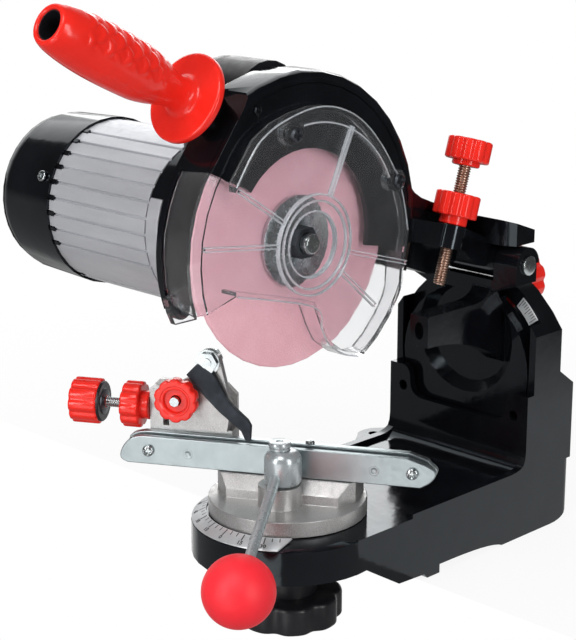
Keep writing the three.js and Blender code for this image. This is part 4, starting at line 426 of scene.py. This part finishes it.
def swept(path, radius, sides):
    """A round bar along a path."""
    spots = [Vector(spot) for spot in path]
    points = []
    across = None
    for i, spot in enumerate(spots):
        ahead = (spots[min(i + 1, len(spots) - 1)] - spots[max(i - 1, 0)]).normalized()
        across = across - ahead * across.dot(ahead) if across else ahead.orthogonal()
        across.normalize()
        beside = ahead.cross(across)
        for k in range(sides):
            angle = TURN * k / sides
            points.append(spot + radius * (math.cos(angle) * across + math.sin(angle) * beside))
    faces = [tuple(reversed(range(sides)))]
    for i in range(len(spots) - 1):
        low = i * sides
        for k in range(sides):
            after = (k + 1) % sides
            faces.append((low + k, low + after, low + sides + after, low + sides + k))
    faces.append(tuple(range(len(points) - sides, len(points))))
    return points, faces


def slab(corners, rise):
    """A plate over corners given in turn, thickened by a vector."""
    lift = Vector(rise)
    points = [Vector(corner) for corner in corners]
    count = len(points)
    points += [point + lift for point in points]
    faces = [tuple(reversed(range(count))), tuple(range(count, 2 * count))]
    for k in range(count):
        after = (k + 1) % count
        faces.append((k, after, count + after, count + k))
    return points, faces


def joined(*forms):
    points, faces = [], []
    for more, around in forms:
        start = len(points)
        points += more
        faces += [tuple(start + i for i in face) for face in around]
    return points, faces


def moved(form, place):
    points, faces = form
    return [(place @ (Vector(point) * MM)) / MM for point in points], faces


def smooth_curve(points, step):
    """Catmull-Rom curve through points of two measures."""
    ends = [points[0], *points, points[-1]]
    curve = []
    for spots in zip(ends, ends[1:], ends[2:], ends[3:]):
        count = max(1, round(math.dist(spots[1], spots[2]) / step))
        for i in range(count):
            t = i / count
            pulls = (
                2 * t**2 - t - t**3,
                2 - 5 * t**2 + 3 * t**3,
                t + 4 * t**2 - 3 * t**3,
                t**3 - t**2,
            )
            curve.append(tuple(sum(pull * x for pull, x in zip(pulls, way)) / 2 for way in zip(*spots)))
    return curve + [points[-1]]


def show(name, node, form, place, finish=None, crease=35, hides=True):
    """Makes a piece that rides and is finished as its node, and stands for it where it hides it."""
    points, faces = form
    made = bpy.data.meshes.new(name)
    made.from_pydata([place @ (Vector(point) * MM) for point in points], [], faces)
    for face in made.polygons:
        face.use_smooth = True
    made.set_sharp_from_angle(angle=math.radians(crease))
    made.materials.append((finish or finish_of(node)).material)
    piece = bpy.data.objects.new(name, made)
    bpy.context.scene.collection.objects.link(piece)
    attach(piece, BODY_OF[node])
    if hides:
        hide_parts(node)
    return piece


def middle_of(node):
    low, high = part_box(node)
    return (Vector(low) + Vector(high)) / 2


# Handle: flange, waist and a grip with rows of raised scales along its top
def handle_grip():
    flange = [(24, 0), (24.7, 0.3), (25, 1), (25, 3.3), (24.6, 4.1), (23.6, 4.5)]
    neck = [(23.6, 4.5), (14, 5.4), (10.6, 7.2), (9.3, 11), (9.6, 16), (11.2, 22), (13.6, 31), (15, 39)]
    grip = [(15.5, 50), (15.7, 62), (15.4, 75), (14.4, 87), (12.9, 96.5), (11.4, 101.2)]
    mouth = [(10.6, 102.6), (9.6, 103), (8.6, 102.7), (8, 101.8), (8, 39), (5.3, 39), (5.3, 0), (24, 0)]
    profile = flange + smooth_curve(neck + grip, 0.55)[1:] + mouth
    pitch, width, depth = 6.2, 12, 0.6
    first, last, fade = 27, 92, 9
    spread, side_fade = math.radians(108), math.radians(15)
    inner_radius = 9
    crest_rise, half_ridge, valley = 0.75, 0.42, 0.6

    def scales(angle, radius, height):
        if radius < inner_radius or not first < height < last:
            return radius, height
        round_to_top = (angle + TURN / 4) % TURN - TURN / 2
        if abs(round_to_top) > spread:
            return radius, height
        along = (height - first) / pitch
        across = round_to_top * radius / width
        bow = 0
        for row in range(math.floor(along) - 1, math.floor(along) + 3):
            shift = across + 0.5 * (row % 2)
            offset = 2 * (shift - round(shift))
            crest = along - row + crest_rise * (1 - offset**2)
            if abs(crest) < half_ridge:
                bow = max(bow, (1 - (crest / half_ridge) ** 2) * (1 - offset**4))
        ends = min(1, (height - first) / fade, (last - height) / fade)
        sides = min(1, (spread - abs(round_to_top)) / side_fade)
        return radius + depth * (bow - valley) * ends * sides, height

    show("handle_skin", "handle_grip", turned(profile, FINE, scales), HANDLE, crease=50)
    lining = [(0, 58), (7.95, 58), (7.95, 101.6), (7.4, 101.6), (7.4, 60), (0, 60)]
    show("handle_bore", "handle_grip", turned(lining, ROUND), HANDLE, BLACK_PLASTIC, hides=False)


# Clear guard: milky strips over its ribs, rims and hub, painted highlights along their edges
def guard_ribs():
    face, rib_rise, rib_side, edge_half = 17.6, 2.3, 1, 0.3
    hub = 28
    bars = []
    for degrees, reach in [(-16.7, 79), (64.6, 69), (172.6, 82), (-41.3, 66), (146.2, 68)]:
        angle = math.radians(degrees)
        aim = Vector((0, math.cos(angle), math.sin(angle)))
        side = Vector((0, -math.sin(angle), math.cos(angle)))
        rise = Vector((face, 0, 0))
        for offset in (-rib_side, rib_side):
            near = aim * hub + side * offset + rise
            far = aim * reach + side * offset + rise
            edge = side * edge_half
            bars.append(slab([near - edge, far - edge, far + edge, near + edge], (rib_rise, 0, 0)))
    rings = []
    half, shoulder = 0.5, 0.4
    for radius, low, high in [(28.2, 17.6, 20.4), (24.6, 17.6, 20.2), (18.6, 15.2, 18.2)]:
        ring = [(radius - half, low), (radius + half, low), (radius + half, high - shoulder)]
        ring += [(radius, high), (radius - half, high - shoulder), (radius - half, low)]
        rings.append(moved(turned(ring, ROUND), ALONG_X))
    top = [(-57, 39.4), (-39, 62.2), (-13, 73), (12, 75), (36, 66.5), (56.6, 47.6), (72.6, 22), (79.4, -4.4)]
    foot = [(-57, -19.4), (1.2, -35.8), (8.2, -50.4), (14, -60), (26.2, -68.4), (38, -72)]
    rim_face, rim_radius, step = 17.1, 0.45, 3
    lines = []
    for edge in (top, foot):
        path = [(rim_face, y, z) for y, z in smooth_curve(edge, step)]
        lines.append(swept(path, rim_radius, LINE))
    arc_face, arc_radius, arc_half, first, sweep, steps = 18.9, 67.5, 0.5, 26, 71, 30
    turns = [math.radians(first + sweep * i / steps) for i in range(steps + 1)]
    arc = [(arc_face, arc_radius * math.cos(a), arc_radius * math.sin(a)) for a in turns]
    lines.append(swept(arc, arc_half, LINE))
    # Ribs, hub rings and rim lines in milky plastic laid over the guard: painted highlights along its edges
    show("guard_painted_highlights", "wheel_guard", joined(*bars, *rings, *lines), HEAD, CLEAR_HIGHLIGHT, hides=False)


# Lobed hand knobs on their collars
def lobed(radius, height, collar, collar_rise, bore, recess, sink=4, lobes=10, flute=1.1, edge=1.2):
    top = collar_rise + height
    chamfer, lobe_sides = 0.6, 16
    profile = [(bore, 0), (collar - chamfer, 0), (collar, chamfer), (collar, collar_rise)]
    lower = [(math.radians(-90 + 22.5 * i), collar_rise + edge) for i in range(5)]
    upper = [(math.radians(18 * i), top - edge) for i in range(6)]
    for angle, centre in lower + upper:
        profile.append((radius - edge + edge * math.cos(angle), centre + edge * math.sin(angle)))
    for out, drop in [(2.2, 0), (1.6, 0.5), (0.9, 0.5), (0.5, 0), (0.3, 0), (0, 0.4), (-0.3, sink)]:
        profile.append((recess + out, top - drop))
    profile += [(bore, top - sink), (bore, 0)]

    def waves(angle, reach, rise):
        if reach < (collar + radius) / 2:
            return reach, rise
        return reach - flute * abs(math.cos(angle * lobes / 2)) ** 5, rise

    return turned(profile, lobes * lobe_sides, waves)


def knobs():
    rim = {"radius": 13.6, "collar": 8.4, "recess": 6.4}
    lock = lobed(height=14, collar_rise=5, bore=4.1, **rim)
    show("depth_lock_grip", "depth_lock_knob", lock, DEPTH @ at(0, 0, 0.3))
    show("depth_grip", "depth_knob", lobed(height=13, collar_rise=3, bore=4.1, **rim), DEPTH @ at(0, 0, 36))
    place = VISE @ at(-84.3, STOP_BEHIND, STOP_HEIGHT) @ TO_LEFT
    show("thrust_lock_grip", "thrust_lock_knob", lobed(height=11, collar_rise=5, bore=3.3, **rim), place)
    thrust = VISE @ at(-112, STOP_BEHIND, STOP_HEIGHT) @ TO_LEFT
    grip = lobed(radius=13.5, height=17, collar=4.2, collar_rise=3, bore=3.3, recess=6.4)
    show("thrust_grip", "thrust_knob", grip, thrust)
    insert = [(3.3, 1.5), (11.4, 1.5), (12, 2.1), (12, 3.1), (3.3, 3.1), (3.3, 1.5)]
    show("thrust_insert", "thrust_knob", turned(insert, ROUND), thrust, BLACK_PLASTIC)
    dish = [(3.3, 0.1), (4.6, 0.1), (7.6, 0.9), (8, 1.5), (3.3, 1.5), (3.3, 0.1)]
    show("thrust_washer", "thrust_knob", turned(dish, ROUND), thrust, DARK_STEEL)
    clamp = lobed(radius=13, height=7, collar=8.4, collar_rise=3, bore=3.3, recess=7, sink=2)
    show("stop_clamp_grip", "stop_clamp_knob", clamp, VISE @ at(-64, -1.4, 108) @ TO_FRONT)
    low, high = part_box("tilt_lock_knob")
    behind = Matrix.Translation((0, low[1], (low[2] + high[2]) / 2)) @ ALONG_Y
    tilt = lobed(radius=20, height=22, collar=10, collar_rise=6, bore=4.6, recess=6.4, flute=1.65)
    show("tilt_lock_grip", "tilt_lock_knob", tilt, behind)
    sizes = {"radius": 32, "height": 17, "collar": 17, "collar_rise": 25.2, "bore": 5.4, "recess": 11}
    wide = lobed(lobes=8, flute=2.6, edge=2.4, **sizes)
    show("clamp_grip", "clamp_knob", wide, VISE @ at(0, 0, 20.2) @ turn_about("X", 180))


# Screw threads
def threaded(radius, depth, pitch, low, high):
    steps, sides = 8, 24
    count = round((high - low) / pitch * steps)
    profile = [(0, low)]
    profile += [(radius, low + (high - low) * i / count) for i in range(count + 1)]
    profile.append((0, high))

    def groove(angle, reach, rise):
        phase = (rise / pitch - angle / TURN) % 1
        root = max(0, 1 - abs(phase - 0.5) * 3)
        ends = min(1, (rise - low) / pitch, (high - rise) / pitch)
        return reach - depth * (root * ends + (1 - ends)), rise

    return turned(profile, sides, groove)


def screws():
    depth = threaded(radius=3.8, depth=0.75, pitch=1.5, low=-36, high=50)
    show("depth_thread", "depth_screw", depth, DEPTH)
    thrust = threaded(radius=3, depth=0.55, pitch=1.25, low=-129, high=-66)
    show("thrust_thread", "thrust_screw", thrust, VISE @ at(0, STOP_BEHIND, STOP_HEIGHT) @ ALONG_X)


# Pan-head screws with a cross recess
def cross_head(radius, height, shank, length):
    rows, sides = 14, 48
    rim, rim_share, floor_share = 0.25, 0.45, 0.35
    profile = [(0, -length), (shank, -length), (shank, 0), (radius - rim, 0), (radius, rim)]
    for i in range(rows):
        share = (rows - i) / rows
        crown = rim_share + (1 - rim_share) * math.sqrt(1 - share**2)
        profile.append((radius * share, height * crown))
    profile.append((0, height * floor_share))
    arm, half, depth = 0.66 * radius, 0.17 * radius, 0.62 * height
    arm_slope, side_slope = 0.2 * arm, 0.35 * half

    def recess(angle, reach, rise):
        if rise <= rim or reach > arm * 1.15:
            return reach, rise
        aside = min(abs(reach * math.cos(angle)), abs(reach * math.sin(angle)))
        across = min(max((half - aside) / side_slope + 1, 0), 1)
        along = min(max((arm - reach) / arm_slope + 0.5, 0), 1)
        return reach, rise - depth * across * along

    return turned(profile, sides, recess)


def small_screws():
    guard = {"radius": 4.2, "height": 2.4, "shank": 2}
    for node, (y, z) in {"guard_screw_1": (-15.3, 62.9), "guard_screw_2": (68, 26.5)}.items():
        place = HEAD @ at(19.4, y, z) @ ALONG_X
        show(f"{node}_head", node, cross_head(length=12, **guard), place, DARK_STEEL)
    lug = HEAD @ at(-9.4, -70, -28) @ ALONG_X
    show("guard_screw_3_head", "guard_screw_3", cross_head(length=4.2, **guard), lug, DARK_STEEL)
    rail_front = -7.3
    for node, along in {"rail_screw_1": -82, "rail_screw_2": 74}.items():
        up = (VISE.inverted() @ middle_of(node)).z / MM
        head = cross_head(radius=3.4, height=2.2, shank=1.8, length=9.6)
        show(f"{node}_head", node, head, VISE @ at(along, rail_front, up) @ TO_FRONT)
    low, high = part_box("cover_screw")
    middle = middle_of("cover_screw")
    cover = cross_head(radius=2.6, height=1.4, shank=2, length=12)
    place = Matrix.Translation((high[0] - 1.4 * MM, middle.y, middle.z)) @ ALONG_X
    show("cover_screw_head", "cover_screw", cover, place)
    cap_radius = 51.8
    for node in ("end_cap_screw_1", "end_cap_screw_2"):
        middle = HEAD.inverted() @ middle_of(node)
        out = Vector((0, middle.y, middle.z)).normalized()
        spot = Vector((middle.x, 0, 0)) + out * (cap_radius * MM)
        place = HEAD @ Matrix.Translation(spot) @ out.to_track_quat("Z", "Y").to_matrix().to_4x4()
        head = cross_head(radius=3.4, height=2, shank=1.8, length=6.5)
        show(f"{node}_head", node, head, place)


# Return spring round the hinge pin
def return_spring():
    radius, wire, turns, steps = 8.5, 0.9, 5, 40
    first, last, leg_up, leg_down, leg_steps = -27, -11.6, 7.5, 9, 6
    path = [(first, -radius, leg_up * (1 - i / leg_steps)) for i in range(leg_steps)]
    for i in range(turns * steps + 1):
        angle = math.pi + TURN * i / steps
        x = first + (last - first) * i / (turns * steps)
        path.append((x, radius * math.cos(angle), radius * math.sin(angle)))
    path += [(last, -radius, -leg_down * i / leg_steps) for i in range(1, leg_steps + 1)]
    show("hinge_spring", "return_spring", swept(path, wire, WIRE), HINGE)


# Cam lever: its rod, ball, hub and pin
def cam_lever():
    rod, foot, top = 3.1, 6.5, 84
    show("lever_bar", "lever_rod", turned([(0, foot), (rod, foot), (rod, top), (0, top)], SMALL), LEVER)
    radius, middle, neck = 20, 94, 3.6
    steps, sides = 40, 80
    socket, depth, lip = 3.2, 9, 0.8
    first = math.asin(neck / radius)
    profile = [(0, middle - depth), (socket, middle - depth)]
    profile.append((socket, middle - radius * math.cos(first) + lip))
    for i in range(steps):
        angle = first + (math.pi - first) * i / steps
        profile.append((radius * math.sin(angle), middle - radius * math.cos(angle)))
    profile.append((0, middle + radius))
    show("lever_knob", "lever_ball", turned(profile, sides), LEVER)
    hub = [(4.4, 67), (8.6, 67), (9.9, 67.7), (10.7, 69.2), (10.7, 81.5), (10.3, 83.4), (9.3, 85.2)]
    hub += [(7.8, 86.5), (6.9, 87), (4.4, 87), (4.4, 67)]
    show("cam_barrel", "cam_hub", turned(hub, ROUND), VISE @ at(1.8, -18, 0))
    low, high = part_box("cam_pin")
    pin = [(0, low[2] / MM), (4, low[2] / MM), (4, 87.3), (5.9, 87.3), (5.9, 88.6), (5.5, 88.9), (5.5, 89.3)]
    pin += [(6.4, 89.7), (6.4, 91.3), (6.1, 91.8), (5.5, 92), (2.2, 92), (1.9, 91.5), (0, 91.5)]
    show("cam_cap", "cam_pin", turned(pin, ROUND), VISE @ at(0, -18, 0))


# Pressed steel plates, drawn as (along, up) in the vise's frame
def pressed(name, node, outline, front, back, edge=0.5):
    corners = [(along, front, up) for along, up in outline]
    piece = show(name, node, slab(corners, (0, back - front, 0)), VISE)
    rounded(piece, edge, segments=3, angle=50)


def rails():
    top, step, start = 84, 1.2, -86
    left = [(start, 0), (-92, -1.5), (-96.5, -5.5), (-99.3, -11), (-99, -15), (-95, -17)]
    right = [(78.5, -17), (84, -13.5), (87, -9.5), (86.5, -6.5), (82, -3.5), (71, 0)]
    outline = [(along, top + drop) for along, drop in smooth_curve(left, step) + smooth_curve(right, step)]
    pressed("jaw_plate", "front_jaw", outline, -7, -3)
    lift, bend = 1.4, 4
    back = [(start, top + lift)]
    for along, up in outline:
        raised = up + (lift if up > top - bend else 0)
        if along > start or raised < top:
            back.append((along, raised))
    pressed("rail_plate", "rear_rail", back, -1.4, 3)
    low, high, under_top = -7.25, -6.8, 9
    dish = [(0, low + 0.35), (1.5, low + 0.2), (2.2, low), (2.9, low + 0.1), (3.1, high), (0, high)]
    places = [at(along, 0, top - under_top) @ ALONG_Y for along in (-58, 52)]
    dimples = [moved(turned(dish, SMALL), place) for place in places]
    show("jaw_dimples", "front_jaw", joined(*dimples), VISE, hides=False)


def chain_pawl():
    strip = [(-52, 130), (-59, 122.5), (-49, 111), (-39.5, 101.5), (-26.5, 91), (-24, 85.5), (-21, 85.5)]
    strip += [(-20.5, 94.5), (-22.5, 98), (-31, 105.5), (-35, 110), (-39.5, 118.5), (-42.5, 124)]
    pressed("pawl_strip", "chain_pawl", strip, -4.7, -1.7, 0.4)
    washer = [(0, -5.1), (3, -5.1), (3, -4.6), (6.3, -4.6), (6.3, -2.3), (7.2, -2.3), (7.2, -1.3), (0, -1.3)]
    nut = [(0, 4.1), (6.6, 4.1), (6.6, 4.9), (6.2, 4.9), (6.2, 8.6), (5.4, 9.3), (3, 9.3)]
    nut += [(3, 12.2), (0, 12.2)]
    flat_from, flat_to, across_flats = 5, 6.5, 5.6

    def hexagon(angle, reach, rise):
        if not flat_from < reach < flat_to:
            return reach, rise
        turn = angle % (TURN / 6) - TURN / 12
        return min(reach, across_flats / math.cos(turn)), rise

    ends = joined(turned(washer, ROUND, hexagon), turned(nut, ROUND, hexagon))
    show("pawl_nuts", "pawl_bolt", moved(ends, at(-47, 0, 130.2) @ ALONG_Y), VISE)


# Angle scale of the vise: a bevelled strip, its ticks and plain numbers
SCALE_INNER, SCALE_OUTER = 47.3, 55.7
SCALE_TOP, SCALE_SLOPE = 44.8, 0.5
PLATE = 0.8
INK = 0.05


def on_bevel(radius, angle, lift):
    height = SCALE_TOP - (radius - SCALE_INNER) * SCALE_SLOPE + lift
    return (radius * math.cos(angle), radius * math.sin(angle), height)


def scale_strip():
    steps, first, sweep, slant = 120, 182, 127, 9
    bottom, top = 0.3, 0.25
    points, faces = [], []
    rows = [(SCALE_INNER, 0), (SCALE_OUTER - bottom, 0), (SCALE_OUTER, bottom), (SCALE_OUTER, PLATE - top)]
    rows += [(SCALE_OUTER - top, PLATE), (SCALE_INNER, PLATE)]
    for i in range(steps + 1):
        for radius, lift in rows:
            lean = slant * (SCALE_OUTER - radius) / (SCALE_OUTER - SCALE_INNER)
            points.append(on_bevel(radius, math.radians(first + (sweep + lean) * i / steps), lift))
    count = len(rows)
    for i in range(steps):
        here = i * count
        for k in range(count):
            after = (k + 1) % count
            faces.append((here + k, here + after, here + count + after, here + count + k))
    faces.append(tuple(reversed(range(count))))
    faces.append(tuple(range(steps * count, (steps + 1) * count)))
    return points, [tuple(reversed(face)) for face in faces]


def angle_scale():
    show("scale_strip", "vise_angle_scale", scale_strip(), BOSS)
    tick, first_tick, last_tick = 5, 190, 310
    number, first_number, last_number = 15, 195, 300
    long_tick, short_tick = (4.0, 0.34), (2.3, 0.27)
    inner = SCALE_INNER + 0.5
    ticks = []
    for degrees in range(first_tick, last_tick + 1, tick):
        length, half = long_tick if degrees % number == 0 else short_tick
        angle = math.radians(degrees)
        side = Vector((-math.sin(angle), math.cos(angle), 0)) * half
        near = Vector(on_bevel(inner, angle, PLATE))
        far = Vector(on_bevel(inner + length, angle, PLATE))
        ticks.append(slab([near - side, far - side, far + side, near + side], (0, 0, INK)))
    centre, radius, size = 270, 53.4, 3.6
    numbers = []
    for degrees in range(first_number, last_number + 1, number):
        text = str(abs(degrees - centre))
        numbers.append(number_on_bevel(text, math.radians(degrees), radius, size))
    show("scale_marks", "vise_angle_scale", joined(*ticks, *numbers), BOSS, SCALE_INK, hides=False)


def lettering(text, size):
    """Plain digits as points and faces, centred."""
    curve = bpy.data.curves.new("digits", "FONT")
    curve.body = text
    curve.size = size
    curve.align_x = "CENTER"
    curve.align_y = "CENTER"
    curve.extrude = 0.03
    curve.offset = 0.1
    curve.resolution_u = 3
    carrier = bpy.data.objects.new("digits", curve)
    made = bpy.data.meshes.new_from_object(carrier)
    points = [Vector(corner.co) for corner in made.vertices]
    faces = [tuple(face.vertices) for face in made.polygons]
    bpy.data.objects.remove(carrier)
    bpy.data.curves.remove(curve)
    bpy.data.meshes.remove(made)
    return points, faces


def number_on_bevel(text, angle, radius, size):
    points, faces = lettering(text, size)
    middle = Vector(on_bevel(radius, angle, PLATE + 0.03))
    outward = Vector((math.cos(angle), math.sin(angle), -SCALE_SLOPE)).normalized()
    beside = Vector((-math.sin(angle), math.cos(angle), 0))
    upright = beside.cross(outward) * -1
    return [middle + beside * p.x - outward * p.y + upright * p.z for p in points], faces


def tilt_plate_marks():
    low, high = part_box("tilt_index_plate")
    front = Vector((0, low[1] / MM - 0.02, 0))
    count, first, sweep, half = 9, 50.5, 13, 0.2
    outer, long_inner, short_inner = 60, 54, 56.5
    ticks = []
    for i in range(count):
        angle = math.radians(first - sweep * i / (count - 1))
        inner = long_inner if i % 4 == 0 else short_inner
        aim = Vector((math.cos(angle), 0, math.sin(angle)))
        side = Vector((-math.sin(angle), 0, math.cos(angle))) * half
        near = aim * inner + front
        far = aim * outer + front
        ticks.append(slab([near + side, near - side, far - side, far + side], (0, -0.04, 0)))
    show("tilt_marks", "tilt_index_plate", joined(*ticks), TILT, SCALE_INK, hides=False)


handle_grip()
guard_ribs()
knobs()
screws()
small_screws()
return_spring()
cam_lever()
rails()
chain_pawl()
angle_scale()
tilt_plate_marks()


# Stage: a pale bench top that ends at the machine's overhanging boss, and soft lamps
MIDDLE = (0, -0.08, 0.16)
BEHIND = (-0.707, 0.707, 0)  # the way that the camera looks, level
UP = (0, 0, 1)
WHITE = (1, 1, 1, 1)
ROOM_LIGHT = 0.42
ROOM_GLOSS = 0.06
BELOW_GLOSS = 0.25
LENS, SENSOR = 100.1, 36
EYE = (0.6821, -0.8339, 0.4254)
VIEW = (-0.6814, 0.6814, -0.2672)


def bench():
    """White far away and dim in gloss; near the machine the eye sees a little of its shadow."""
    made = bpy.data.meshes.new("bench")
    front, back, half, top = metres(-97, 4000, 4000, -0.4)
    corners = [(-half, front, top), (half, front, top), (half, back, top), (-half, back, top)]
    made.from_pydata(corners, [], [(0, 1, 2, 3)])
    piece = bpy.data.objects.new("bench", made)
    bpy.context.scene.collection.objects.link(piece)
    s = Surface("bench_top", Roughness=0.9)
    s.colour(s.blend(s.spread(s.noise(3), 0, 1), (0.80, 0.80, 0.80), (0.84, 0.84, 0.84)))
    rays = s.node("ShaderNodeLightPath").outputs
    away = s.node("ShaderNodeVectorMath", operation="LENGTH")
    s.feed(away.inputs[0], s.place)
    white = s.spread(away.outputs["Value"], 0.90, 1.0, 0.2, 0.6)
    dim = s.spread(away.outputs["Value"], 0.75, ROOM_GLOSS, 0.3, 0.6)
    through = s.spread(s.reach_along(s.place, BEHIND), ROOM_GLOSS, 1.0, 0.0, 0.3)
    glow = s.node("ShaderNodeEmission")
    glow.inputs["Color"].default_value = WHITE
    strength = s.pick(rays["Is Glossy Ray"], 1, dim)
    s.feed(glow.inputs["Strength"], s.pick(rays["Is Transmission Ray"], strength, through))
    s.mixed(s.pick(rays["Is Camera Ray"], rays["Is Glossy Ray"], white), glow.outputs["Emission"])
    made.materials.append(s.material)


def surroundings():
    """White to the eye; gloss and glass see white behind, gloss sees some below, and the rest is dim."""
    world = bpy.data.worlds.new("studio")
    bpy.context.scene.world = world
    world.use_nodes = True
    s = Nodes(world.node_tree)
    way = s.node("ShaderNodeTexCoord").outputs["Generated"]
    rays = s.node("ShaderNodeLightPath").outputs
    behind = s.spread(s.reach_along(way, BEHIND), ROOM_GLOSS, 1.0, 0.55, 0.92)
    below = s.spread(s.reach_along(way, UP), BELOW_GLOSS, ROOM_GLOSS, -0.12, 0.0)
    strength = s.pick(rays["Is Glossy Ray"], ROOM_LIGHT, s.larger(behind, below))
    strength = s.pick(rays["Is Transmission Ray"], strength, behind)
    sky = s.tree.nodes["Background"]
    s.feed(sky.inputs["Strength"], s.pick(rays["Is Camera Ray"], strength, 1.0))
    sky.inputs["Color"].default_value = WHITE


def lamp(name, azimuth, elevation, distance, size, watts):
    light = bpy.data.lights.new(name, "AREA")
    light.shape = "RECTANGLE"
    light.size, light.size_y = size
    light.energy = watts
    piece = bpy.data.objects.new(name, light)
    bpy.context.scene.collection.objects.link(piece)
    turn, rise = math.radians(azimuth), math.radians(elevation)
    level = distance * math.cos(rise)
    aim = Vector((level * math.cos(turn), level * math.sin(turn), distance * math.sin(rise)))
    piece.location = Vector(MIDDLE) + aim
    piece.rotation_mode = "QUATERNION"
    piece.rotation_quaternion = (-aim).to_track_quat("-Z", "Y")


def camera():
    lens = bpy.data.cameras.new("camera")
    lens.lens = LENS
    lens.sensor_width = SENSOR
    piece = bpy.data.objects.new("camera", lens)
    bpy.context.scene.collection.objects.link(piece)
    piece.location = EYE
    piece.rotation_mode = "QUATERNION"
    piece.rotation_quaternion = Vector(VIEW).to_track_quat("-Z", "Y")
    bpy.context.scene.camera = piece


bench()
surroundings()
lamp("left_strip", azimuth=-92, elevation=15, distance=1.3, size=(0.25, 1.0), watts=6)
lamp("right_strip", azimuth=-8, elevation=12, distance=1.3, size=(0.25, 1.0), watts=6)
lamp("key", azimuth=-70, elevation=52, distance=1.5, size=(0.6, 0.6), watts=7)
lamp("low_front", azimuth=-74, elevation=-18, distance=1.3, size=(0.8, 0.5), watts=2)
lamp("back", azimuth=160, elevation=45, distance=1.4, size=(1.1, 1.1), watts=4)
lamp("rim", azimuth=135, elevation=18, distance=1.6, size=(0.9, 0.4), watts=3)
camera()
bpy.context.scene.view_settings.view_transform = "Standard"
